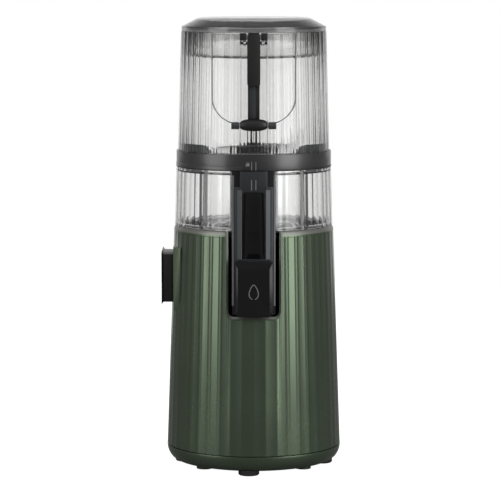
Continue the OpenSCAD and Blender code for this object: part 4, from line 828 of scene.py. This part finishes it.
def drum():
    """The chamber's fluted clear wall with its bayonet neck, its sleeve and the bowl under it."""
    sizes = bpy.context.scene.juicer_sizes
    node = "chamber_drum"
    foot, neck_top = high("chamber_ledge").z, high(node).z
    top = high("front_frame").z
    depth, count = sizes.clear_flute_depth, sizes.flute_count
    wall, top_t, neck_wall, fillet, edge = 2.6 * MM, 2.8 * MM, 3 * MM, 1.5 * MM, 0.3 * MM
    foot_r, top_r = outer_r(node, foot), outer_r("collar_ring", low("collar_ring").z)
    neck_r, skirt_r = outer_r(node, neck_top), inner_r(node, foot)
    neck_in_r, under = neck_r - neck_wall, top - top_t
    wall_piece = as_object("chamber_wall", ring_wall([
        (foot, foot_r - edge, depth, count),
        (foot + edge, foot_r, depth, count),
        (top - edge, top_r, depth, count),
        (top, top_r - edge, depth, count),
        (top, neck_r + edge),
        (top + edge, neck_r),
        (neck_top - edge, neck_r),
        (neck_top, neck_r - edge),
        (neck_top, neck_in_r + edge),
        (neck_top - edge, neck_in_r),
        (under, neck_in_r),
        (under, top_r - wall - fillet),
        (under - fillet, top_r - wall),
        (foot + wall, foot_r - wall - depth),
        (foot + wall, skirt_r + edge),
        (foot, skirt_r),
    ], 16 * count))
    for turn in TAB_TURNS:
        carve(wall_piece, neck_tab(neck_r, turn), "UNION")
    half = high("front_frame").x
    carve(wall_piece, box_tool((-half, -CUT_TO, foot - MM), (half, -neck_r, top + NEAR)))
    # The drum's top faces under the collar get a painted shadow.
    rework(wall_piece, lambda bm: mark_level(bm, under - MM, top + MM))
    finish(wall_piece, "chamber", "clear_plastic", [node], 24)
    sleeve(neck_in_r, top, under)
    dressed_copy("chamber_step", "chamber_ledge", "chamber", "clear_plastic", 0.3 * MM)
    dressed_copy("chamber_cup", "chamber_bowl", "chamber", "clear_plastic", 0.4 * MM)


def sleeve(neck_in_r, top, under):
    """The clear sleeve that hangs in the chamber and leads the food to the flights."""
    foot = low("chamber_drum").z
    inner, outer = radii("chamber_drum", foot, foot)
    edge, flare, hung_r = 0.4 * MM, 2 * MM, neck_in_r - NEAR
    tube = lathe([
        (inner, foot + edge), (inner + edge, foot), (outer - edge, foot), (outer, foot + edge),
        (outer, under - flare), (outer + flare, under), (hung_r, under), (hung_r, top),
        (inner + edge, top), (inner, top - edge)])
    finish(as_object("chamber_sleeve", tube), "chamber", "sleeve_clear")


def neck_tab(neck_r, turn):
    """One bayonet tab of the neck, an arc of a flat ring."""
    bottom, span = high("front_frame").z + 4.4 * MM, 16
    top, root, reach = bottom + 3 * MM, neck_r - MM, neck_r + 2.2 * MM
    bm = bmesh.new()
    outline = [(root, bottom), (reach, bottom), (reach, top), (root, top)]
    face = bm.faces.new([bm.verts.new((r, 0, z)) for r, z in outline])
    turned(bm, turn - span / 2)
    bmesh.ops.spin(
        bm, geom=[face], cent=(0, 0, 0), axis=(0, 0, 1), dvec=(0, 0, 0), angle=math.radians(span),
        steps=10, use_merge=False, use_duplicate=False)
    return as_object("tool", bm)


def front():
    """The black frame, satin column and gloss panel in the notch, and the tube behind the lever."""
    dressed_copy("frame_strip", "front_frame", "chamber", "black_gloss", 0.4 * MM, 3)
    frame_edges()
    # The column strip takes the darker copy of the satin as painted shade.
    dressed_copy("column_strip", "front_column", "chamber", "deep_satin", 0.8 * MM, 3)
    column_bevels()
    dressed_copy("gloss_panel", "column_panel", "chamber", "black_gloss", 0.25 * MM)
    dressed_copy("spout_tube", "juice_tube", "chamber", "black_plastic", 0.4 * MM)


def frame_edges():
    """The slanted satin edges along both sides of the black frame."""
    foot, top = low("front_frame").z + 9 * MM, high("front_frame").z - 4 * MM
    half, r = high("front_frame").x, -low("front_frame").y
    inner, outer, y = half - 2.2 * MM, half + 0.1 * MM, -math.sqrt(r * r - half * half)
    outline = (
        (inner, y + 0.2 * MM), (inner, y - 0.9 * MM), (inner + 0.6 * MM, y - MM),
        (outer, y - 0.1 * MM), (outer, y + 0.6 * MM))
    levels = [(z, 1) for z in (foot, foot + 2 * MM, top - 2 * MM, top)]
    side_strips("frame_edge", outline, levels, "chamber", "dark_satin")


def column_bevels():
    """The two slanted satin faces beside the gloss panel, which lean in at their tops."""
    panel, lean = "column_panel", 0.994
    foot, top = low(panel).z + MM, high(panel).z + 3 * MM
    inner, outer = high(panel).x + 0.2 * MM, high(panel).x + 4.6 * MM
    r = -low("front_column").y
    y_in, y_out = (-math.sqrt(r * r - x * x) for x in (inner, outer))
    outline = (
        (inner, y_in + 0.3 * MM), (inner, y_in - 0.7 * MM), (inner + 0.4 * MM, y_in - 0.85 * MM),
        (outer, y_out - 0.1 * MM), (outer, y_out + 0.4 * MM))
    levels = [(foot, 1), (top - 6 * MM, 1), (top, lean)]
    side_strips("column_bevel", outline, levels, "chamber", "dark_satin")


def lever():
    """The juice lever with its rounded lower corners, a chamfered face and a drop mark."""
    sizes = bpy.context.scene.juicer_sizes
    node = "juice_lever"
    face_y, foot, head, half = low(node).y, low(node).z, high(node).z, high(node).x
    chamfer, slant, drop = sizes.lever_chamfer, 0.5, 3.6 * MM
    bm = cad_copy(node)
    lower = [
        e for e in bm.edges
        if abs(e.verts[0].co.x - e.verts[1].co.x) < NEAR
        and all(v.co.z < foot + NEAR and abs(v.co.x) > half - NEAR for v in e.verts)
    ]
    bevel(bm, lower, 6 * MM, 10)
    face = [f for f in bm.faces if all(v.co.y < face_y + NEAR for v in f.verts)]
    ring = bmesh.ops.inset_region(
        bm, faces=face, thickness=chamfer, depth=0, use_even_offset=True)["faces"]
    inner = {v for f in face for v in f.verts}
    for v in {v for f in ring for v in f.verts} - inner:
        v.co.y += chamfer * slant
    for v in inner:
        if v.co.z > head - 2 * chamfer:
            v.co.z -= drop
    round_edges(bm, sizes.edge, 3, 18)
    finish(as_object("lever_flap", bm), node, "black_gloss", [node], 14)
    drop_mark()


def drop_outline(half_w, height):
    """A drop's outline, its point at the top, as (x, z) points from the left foot of the gap round."""
    points, steps, gap = [], 28, 0.25
    for i in range(steps + 1):
        t = -math.pi + gap + (TAU - 2 * gap) * i / steps
        narrow = (0.5 + 0.5 * math.cos(t)) ** 1.4
        points.append((half_w * math.sin(t) * (1 - 0.55 * narrow), 0.5 * height * math.cos(t)))
    return points


def drop_mark():
    """A thin drop outline, open at its foot, printed on the lever."""
    node, half_w, height = "juice_lever", 5.5 * MM, 14.5 * MM
    face_y, middle = low(node).y, low(node).z + 25 * MM
    points = [Vector((x, face_y, middle + z)) for x, z in drop_outline(half_w, height)]
    finish(as_object("drop_line", flat_line(points, Vector((0, -1, 0)))), node, "print")


def flat_line(points, out, proud=0.12 * MM):
    """A thin printed line through the points, on a face that looks along out."""
    width = bpy.context.scene.juicer_sizes.mark_line
    sections = []
    for i, at in enumerate(points):
        along = points[min(i + 1, len(points) - 1)] - points[max(i - 1, 0)]
        aside = along.cross(out).normalized() * width / 2
        front, back = out * proud, out * -0.5 * proud
        sections.append([at - aside + back, at + aside + back, at + aside + front, at - aside + front])
    return sweep(sections)


def outlet():
    """The pulp outlet with its flared lip."""
    dressed_copy("outlet_box", "pulp_outlet", "pulp_outlet", "black_plastic", 0.5 * MM)


def collar():
    """The satin collar between chamber and hopper, with its lip, a black ring under it as painted shade in
    the gap, and the printed marks.
    """
    dressed_copy("collar_band", "collar_ring", "hopper", "grey_satin", 0.7 * MM, 3)
    foot, r = low("collar_ring").z, high("collar_ring").x
    lip = part_ring([
        (r - MM, foot + 0.3 * MM), (r + 0.1 * MM, foot + 0.3 * MM), (r + 0.35 * MM, foot + 0.6 * MM),
        (r + 0.35 * MM, foot + 3.6 * MM), (r + 0.1 * MM, foot + 4 * MM), (r - MM, foot + 4 * MM)],
        96, 130, 199)
    finish(as_object("collar_lip", lip), "hopper", "grey_satin")
    # A black ring under the collar: painted shade where the gap to the chamber falls in shadow.
    gap_shade_ring = lathe([
        (r - 3 * MM, foot - 0.3 * MM), (r + 0.1 * MM, foot - 0.3 * MM), (r + 0.3 * MM, foot),
        (r + 0.3 * MM, foot + 1.2 * MM), (r - 3 * MM, foot + 1.2 * MM)])
    finish(as_object("collar_gasket", gap_shade_ring), "hopper", "black_plastic")
    neck_foot, neck_line_h = 287 * MM, 10 * MM
    twin_lines("collar_lines", "hopper", r + 0.35 * MM, foot + 0.5 * MM, foot + 9 * MM)
    twin_lines("neck_lines", "chamber", -low("front_column").y, neck_foot, neck_foot + neck_line_h)
    lock_mark(r, foot + 4.5 * MM)


def twin_lines(name, body, r, bottom, top):
    """Two printed upright lines that meet when collar and chamber are locked."""
    for side_name, side in SIDES:
        x = side * 2.1 * MM
        y = -math.sqrt(r * r - x * x)
        points = [Vector((x, y, z)) for z in (bottom, (bottom + top) / 2, top)]
        line = flat_line(points, Vector((x, y, 0)).normalized())
        finish(as_object(f"{name}_{side_name}", line), body, "print")


def lock_mark(r, foot):
    """A small padlock printed left of the lines: half a ring on a block."""
    x, half, block_h, bow_r = -6 * MM, 1.7 * MM, 2.4 * MM, 1.2 * MM
    y = -math.sqrt(r * r - x * x) - 0.02 * MM
    block = plate("lock_block", (x - half, y - 0.1 * MM, foot), (x + half, y + 0.2 * MM, foot + block_h),
                  0.05 * MM)
    finish(block, "hopper", "print")
    bow, deep = [], Vector((0, 0.1 * MM, 0))
    for px, pz in arc((x, foot + block_h), bow_r, 0, 180, 12):
        out = Vector((px - x, 0, pz - foot - block_h)).normalized() * 0.3 * MM
        at = Vector((px, y, pz))
        bow.append([at - out - deep, at + out - deep, at + out + deep, at - out + deep])
    finish(as_object("lock_bow", sweep(bow)), "hopper", "print")


def hopper_r(z):
    """Outer radius of the hopper's wall at a height."""
    z0, z1 = high("collar_ring").z, low("lid_rim").z
    r0, r1 = high("collar_ring").x - 1.7 * MM, high("lid_rim").x + 0.3 * MM
    return r0 + (r1 - r0) * (z - z0) / (z1 - z0)


def hopper_wall(name, bottom, top):
    """The hopper's fluted wall with fine reeds inside, and a plain strip in front of the latch."""
    sizes = bpy.context.scene.juicer_sizes
    wall, edge = 2.2 * MM, 0.25 * MM
    flutes = (sizes.clear_flute_depth, sizes.flute_count, high("latch_housing").x)
    reeds = (sizes.reed_depth, 3 * sizes.flute_count)
    return as_object(name, ring_wall([
        (bottom, hopper_r(bottom) - edge, *flutes),
        (bottom + edge, hopper_r(bottom), *flutes),
        (top - edge, hopper_r(top), *flutes),
        (top, hopper_r(top) - edge, *flutes),
        (top, hopper_r(top) - wall + edge, *reeds),
        (top - edge, hopper_r(top) - wall, *reeds),
        (bottom + edge, hopper_r(bottom) - wall, *reeds),
        (bottom, hopper_r(bottom) - wall + edge, *reeds),
    ], 18 * sizes.flute_count))


def door_tool(grow, top):
    foot, half = low("feed_door").z, high("feed_door").x
    return upright_u(half + grow, foot - grow, top, DOOR_CORNER + grow, 0, 20)


def hopper():
    """The hopper's fluted shell with its floor ring and hinge knuckles, and the guides inside."""
    z0, z1 = high("collar_ring").z, low("lid_rim").z
    shell = hopper_wall("hopper_wall", z0, z1)
    foot, ledge, shelf = low("hopper_shell").z, z0 - 4.3 * MM, z0 + 0.02 * MM
    inner, foot_in_r, shelf_r = inner_r("hopper_shell", z0), inner_r("hopper_shell", foot), 75.2 * MM
    carve(shell, as_object("tool", lathe([
        (inner, shelf), (shelf_r, shelf), (shelf_r, foot), (foot_in_r, foot), (foot_in_r, ledge),
        (inner, ledge)])), "UNION")
    carve(shell, door_tool(0.5 * MM, z1 + MM))
    rework(shell, mark_cuts)
    finish(shell, "hopper", "tinted_clear", ["hopper_shell"], 24)
    floor_arcs(z0)
    knuckles()
    dressed_copy("guide_blocks", "feed_guides", "hopper", "dark_satin", 0.8 * MM)


def floor_arcs(level):
    """The clear floor in front of and behind the feed opening, between the two guides."""
    foot, top, span = level + 0.1 * MM, level + 1.4 * MM, 91
    inner, outer = inner_r("feed_guides", level), high("collar_ring").x - 4.5 * MM
    for name, middle in (("floor_front", -90), ("floor_back", 90)):
        bm = part_ring([(inner, foot), (outer, foot), (outer, top), (inner, top)], 72, span, middle)
        round_edges(bm, 0.2 * MM, 1, 50)
        finish(as_object(name, bm), "hopper", "clear_plastic")


def knuckles():
    """The two hinge knuckles that carry the door's pin."""
    pin = (low("hinge_pin") + high("hinge_pin")) / 2
    start, end = high("door_barrel").x + 0.5 * MM, high("hinge_pin").x
    r, bore_r, root = 3.5 * MM, 1.8 * MM, -73.5 * MM
    for side_name, side in SIDES:
        a, b, over = side * start, side * end, side * MM
        knuckle = as_object(f"knuckle_{side_name}", bar(r, (a, pin.y, pin.z), (b, pin.y, pin.z)))
        carve(knuckle, box_tool((a, pin.y, pin.z - r), (b, root, pin.z)), "UNION")
        carve(knuckle, bar_tool(bore_r, (a - over, pin.y, pin.z), (b + over, pin.y, pin.z), 32))
        finish(knuckle, "hopper", "dark_satin")


def door():
    """The feed door, a U shaped piece of the hopper's wall, with its barrel and latch."""
    node = "feed_door"
    leaf = hopper_wall("door_leaf", low(node).z - MM, high(node).z)
    carve(leaf, door_tool(0, high(node).z + MM), "INTERSECT")
    rework(leaf, mark_cuts)
    finish(leaf, "feed_door", "tinted_clear", [node], 24)
    barrel()
    door_edge()
    dressed_copy("latch_cheeks", "latch_housing", "feed_door", "clear_plastic", 0.3 * MM)
    dressed_copy("handle", "latch_handle", "latch", "black_plastic", 0.9 * MM, 3)
    ears()
    stem()


def barrel():
    """The hinge barrel, a black lens across the door's foot."""
    node = "door_barrel"
    half, steps = high(node).x, 24
    r = (high(node).z - low(node).z) / 2
    end_share, fullness = 0.32, 2.4
    outline = [(0, -half)]
    for i in range(steps + 1):
        along = -1 + 2 * i / steps
        swell = math.sqrt(1 - abs(along) ** fullness)
        outline.append((r * (end_share + (1 - end_share) * swell), half * along))
    lens = lathe([*outline, (0, half)], 64)
    turned(lens, 90, "Y")
    bmesh.ops.translate(lens, verts=lens.verts, vec=(low(node) + high(node)) / 2)
    finish(as_object("barrel", lens), "feed_door", "black_plastic", [node])


def door_edge():
    """The thin dark seal around the door."""
    half, foot, top = high("feed_door").x, low("feed_door").z, high("feed_door").z
    heights, foot_xs = (top, (top + foot) / 2, foot + DOOR_CORNER + MM), [4 * MM * i for i in range(-3, 4)]
    path = u_path(half, foot, DOOR_CORNER, heights, foot_xs, 20)
    inward, outward, proud, deep = -0.5 * MM, 0.4 * MM, -0.05 * MM, 1.2 * MM
    profile = ((inward, proud), (outward, proud), (outward, deep), (inward, deep))
    finish(as_object("door_edge", sweep(follow(path, profile, hopper_r))), "feed_door", "dark_satin")


def ears():
    """The two black blocks beside the handle's top, on the latch's pin."""
    inner, outer = 7.2 * MM, high("latch_housing").x + 0.2 * MM
    front, depth = low("latch_housing").y - 0.2 * MM, 5.5 * MM
    foot, top = high("latch_housing").z - 6 * MM, low("lid_rim").z - 0.3 * MM
    for side_name, side in SIDES:
        ear = plate(f"ear_{side_name}", (side * inner, front, foot), (side * outer, front + depth, top),
                    0.6 * MM)
        finish(ear, "feed_door", "black_plastic")


def stem():
    """The black stem between the handle's foot and the hinge barrel: a satin web between two ribs."""
    top, bottom = low("latch_handle").z + MM, high("door_barrel").z - MM
    y, web_half = -76.4 * MM, 4 * MM
    back = y + 0.5 * MM
    web = plate("stem_web", (-web_half, y - 1.5 * MM, bottom), (web_half, back, top), 0.3 * MM)
    finish(web, "feed_door", "dark_satin")
    for side_name, side in SIDES:
        inner, outer = side * 3.2 * MM, side * 5.8 * MM
        rib = plate(f"stem_rib_{side_name}", (inner, y - 3 * MM, bottom), (outer, back, top), 0.5 * MM)
        finish(rib, "feed_door", "black_plastic")


def lid():
    """The smoked dome, its darker rim and the clear dish under it."""
    dressed_copy("lid_band", "lid_rim", "lid", "deep_smoke", 0.7 * MM, 3)
    dressed_copy("lid_top", "lid_dome", "lid", "smoke_plastic", 0.3 * MM)
    dressed_copy("lid_cup", "lid_dish", "lid", "clear_plastic", 0.3 * MM)


def press():
    """The auger, its cutting wing on a dark core, and the strainer's frame."""
    dressed_copy("auger_screw", "auger", "auger", "dark_satin", 0.4 * MM)
    dressed_copy("cutting_blades", "cutting_wing", "auger", "smoke_plastic", 0.5 * MM)
    dressed_copy("strainer_cage", "strainer_frame", "chamber", "dark_gloss", 0.4 * MM)
    wing_core()


def wing_core():
    """The dark cone and spindle that the wing's blades stand on."""
    foot, top = low("cutting_wing").z, high("cutting_wing").z
    r, neck = outer_r("auger", high("auger").z), 3.1 * MM
    lift = foot + 11 * MM
    core = lathe([
        (0, foot + 0.1 * MM), (r - 0.4 * MM, foot + 0.1 * MM), (r, foot + 0.5 * MM), (r, foot + 8.25 * MM),
        (r - 0.6 * MM, foot + 8.8 * MM), (neck + 3 * MM, lift), (neck, lift + 2 * MM),
        (neck, top - 0.5 * MM), (neck - 0.5 * MM, top), (0, top)], 96)
    finish(as_object("wing_hub", core), "auger", "black_plastic")


def node_finishes():
    """Gives each node that is still shown the finish of its own material slot."""
    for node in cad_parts.values():
        name = node.material_slots[0].material.name.split(".")[0]
        if not node.hide_render:
            node.material_slots[0].material = finishes()[name]


# ---------- stage ----------

def camera():
    studio = bpy.context.scene.juicer_studio
    data = bpy.data.cameras.new("camera")
    eye = Vector((0, -studio.distance, studio.eye))
    target = Vector((-studio.aside, 0, studio.aim))
    away = (target - eye).length
    data.sensor_width = 36
    data.lens = data.sensor_width * away / studio.view_height
    data.clip_end = 100
    data.dof.use_dof = False
    seat = link("camera", data)
    seat.location = eye
    seat.rotation_euler = (target - eye).to_track_quat("-Z", "Y").to_euler()
    bpy.context.scene.camera = seat


def soft_box(name, degrees, away, height, size, power, aim=0.3):
    """A tall area light at an angle from the front, aimed at the drive axis at the aim height."""
    data = bpy.data.lights.new(name, "AREA")
    data.shape = "RECTANGLE"
    data.size, data.size_y = size
    data.energy = power
    light = link(name, data)
    turn = math.radians(degrees)
    at = Vector((away * math.sin(turn), -away * math.cos(turn), height))
    light.location = at
    light.rotation_euler = (Vector((0, 0, aim)) - at).to_track_quat("-Z", "Y").to_euler()
    light.visible_camera = False


def surroundings():
    """A white wall behind, a soft ceiling and two washes in front, and plain white for the camera."""
    scene = bpy.context.scene
    scene.view_settings.view_transform = "Standard"
    world = bpy.data.worlds.new("studio")
    scene.world = world
    world.use_nodes = True
    tree = world.node_tree
    tree.nodes.clear()
    way = add(tree, "ShaderNodeTexCoord").outputs["Generated"]
    parts = add(tree, "ShaderNodeSeparateXYZ", {0: way})
    # each part of a direction runs from -1 to 1, Y away from the camera and Z up
    level = spread(tree, parts.outputs["Y"], 0.78, 0.98, 0.3, 1.0)
    ahead = spread(tree, parts.outputs["Y"], -1.0, -0.84, -0.11, 0.0)
    above = spread(tree, parts.outputs["Z"], 0.45, 0.95, 0.0, 0.3)
    level = math_node(tree, "ADD", math_node(tree, "ADD", level, ahead), above)
    for turn, width, gain in ((55, 0.72, 0.45), (-64, 0.78, 0.3)):
        aim = (math.sin(math.radians(turn)), -math.cos(math.radians(turn)), 0.0)
        facing = add(tree, "ShaderNodeVectorMath", {0: way, 1: aim}, operation="DOT_PRODUCT")
        wash = spread(tree, facing.outputs["Value"], width, 1.0, 0.0, gain)
        level = math_node(tree, "ADD", level, wash)
    white = (1.0, 1.0, 1.0, 1.0)
    room = add(tree, "ShaderNodeBackground", {"Color": white, "Strength": level})
    plain = add(tree, "ShaderNodeBackground", {"Color": white, "Strength": 1.0})
    seen = add(tree, "ShaderNodeLightPath").outputs["Is Camera Ray"]
    both = add(tree, "ShaderNodeMixShader", {0: seen, 1: room.outputs[0], 2: plain.outputs[0]})
    add(tree, "ShaderNodeOutputWorld", {"Surface": both.outputs[0]})


def floor():
    colours = bpy.context.scene.juicer_colours
    bm = bmesh.new()
    bmesh.ops.create_circle(bm, cap_ends=True, segments=96, radius=1.5)
    ground = as_object("floor", bm)
    material, tree, shader, place = blank("floor", {
        "Roughness": 0.6, "Emission Color": (1.0, 1.0, 1.0, 1.0)})
    cloud = noise(tree, place, 6.0, 3.0)
    shade = spread(tree, cloud, 0.3, 0.7, 0.97, 1.0)
    tone = add(tree, "ShaderNodeVectorMath", {0: tuple(colours.floor), "Scale": shade}, operation="SCALE")
    tree.links.new(tone.outputs[0], shader.inputs["Base Color"])
    seen = add(tree, "ShaderNodeLightPath").outputs["Is Camera Ray"]
    tree.links.new(seen, shader.inputs["Emission Strength"])
    ground.data.materials.append(material)


def studio():
    values = bpy.context.scene.juicer_studio
    surroundings()
    floor()
    for name, degrees, power in (("key", 51, values.key_power), ("fill", -58, values.fill_power)):
        soft_box(name, degrees, away=1.0, height=0.56, size=(0.6, 1.1), power=power)
    for side_name, side in SIDES:
        soft_box(f"rim_{side_name}", side * 140, away=1.5, height=0.8, size=(0.4, 1.2),
                 power=values.rim_power)
    camera()


# ---------- operators and panel ----------

class JUICER_OT_stage(bpy.types.Operator):
    """Sets up the camera, the floor and the light"""

    bl_idname = "juicer.stage"
    bl_label = "Studio"

    def execute(self, context):
        studio()
        return {"FINISHED"}


class JUICER_OT_casing(bpy.types.Operator):
    """Builds the fluted casing with its trim, pad and notch"""

    bl_idname = "juicer.casing"
    bl_label = "Casing"

    def execute(self, context):
        casing()
        return {"FINISHED"}


class JUICER_OT_base_parts(bpy.types.Operator):
    """Finishes the tray, the feet, the well and the inlet"""

    bl_idname = "juicer.base_parts"
    bl_label = "Base"

    def execute(self, context):
        base_parts()
        return {"FINISHED"}


class JUICER_OT_dial(bpy.types.Operator):
    """Finishes the control dial"""

    bl_idname = "juicer.dial"
    bl_label = "Dial"

    def execute(self, context):
        dial()
        return {"FINISHED"}


class JUICER_OT_drum(bpy.types.Operator):
    """Builds the clear chamber"""

    bl_idname = "juicer.drum"
    bl_label = "Chamber"

    def execute(self, context):
        drum()
        return {"FINISHED"}


class JUICER_OT_front(bpy.types.Operator):
    """Finishes the frame, the column and the gloss panel"""

    bl_idname = "juicer.front"
    bl_label = "Front column"

    def execute(self, context):
        front()
        return {"FINISHED"}


class JUICER_OT_lever(bpy.types.Operator):
    """Shapes the juice lever and prints its mark"""

    bl_idname = "juicer.lever"
    bl_label = "Juice lever"

    def execute(self, context):
        lever()
        return {"FINISHED"}


class JUICER_OT_outlet(bpy.types.Operator):
    """Finishes the pulp outlet"""

    bl_idname = "juicer.outlet"
    bl_label = "Pulp outlet"

    def execute(self, context):
        outlet()
        return {"FINISHED"}


class JUICER_OT_collar(bpy.types.Operator):
    """Finishes the collar and prints its marks"""

    bl_idname = "juicer.collar"
    bl_label = "Collar"

    def execute(self, context):
        collar()
        return {"FINISHED"}


class JUICER_OT_hopper(bpy.types.Operator):
    """Builds the fluted hopper, its floor and its knuckles"""

    bl_idname = "juicer.hopper"
    bl_label = "Hopper"

    def execute(self, context):
        hopper()
        return {"FINISHED"}


class JUICER_OT_door(bpy.types.Operator):
    """Builds the feed door, its barrel and its latch"""

    bl_idname = "juicer.door"
    bl_label = "Feed door"

    def execute(self, context):
        door()
        return {"FINISHED"}


class JUICER_OT_lid(bpy.types.Operator):
    """Finishes the lid"""

    bl_idname = "juicer.lid"
    bl_label = "Lid"

    def execute(self, context):
        lid()
        return {"FINISHED"}


class JUICER_OT_press(bpy.types.Operator):
    """Finishes the auger, the wing and the strainer"""

    bl_idname = "juicer.press"
    bl_label = "Auger and strainer"

    def execute(self, context):
        press()
        return {"FINISHED"}


class JUICER_OT_inner_works(bpy.types.Operator):
    """Gives every other node its finish"""

    bl_idname = "juicer.inner_works"
    bl_label = "Inner works"

    def execute(self, context):
        node_finishes()
        return {"FINISHED"}


OPERATORS = [
    JUICER_OT_stage,
    JUICER_OT_casing,
    JUICER_OT_base_parts,
    JUICER_OT_dial,
    JUICER_OT_drum,
    JUICER_OT_front,
    JUICER_OT_lever,
    JUICER_OT_outlet,
    JUICER_OT_collar,
    JUICER_OT_hopper,
    JUICER_OT_door,
    JUICER_OT_lid,
    JUICER_OT_press,
    JUICER_OT_inner_works,
]


class JUICER_PT_panel(bpy.types.Panel):
    """Lists the juicer's pieces in the sidebar"""

    bl_label = "Juicer"
    bl_idname = "JUICER_PT_panel"
    bl_space_type = "VIEW_3D"
    bl_region_type = "UI"
    bl_category = "Juicer"

    def draw(self, context):
        for key, group in GROUPS_OF_VALUES.items():
            box = self.layout.box()
            for name in group.__annotations__:
                box.prop(getattr(context.scene, key), name)
        for kind in OPERATORS:
            self.layout.operator(kind.bl_idname)


def register():
    for kind in [*GROUPS_OF_VALUES.values(), *OPERATORS, JUICER_PT_panel]:
        bpy.utils.register_class(kind)
    for key, group in GROUPS_OF_VALUES.items():
        setattr(bpy.types.Scene, key, bpy.props.PointerProperty(type=group))


def unregister():
    for key in GROUPS_OF_VALUES:
        delattr(bpy.types.Scene, key)
    for kind in reversed([*GROUPS_OF_VALUES.values(), *OPERATORS, JUICER_PT_panel]):
        bpy.utils.unregister_class(kind)


def main():
    register()
    for kind in OPERATORS:
        family, name = kind.bl_idname.split(".")
        getattr(getattr(bpy.ops, family), name)()


if __name__ == "__main__":
    main()
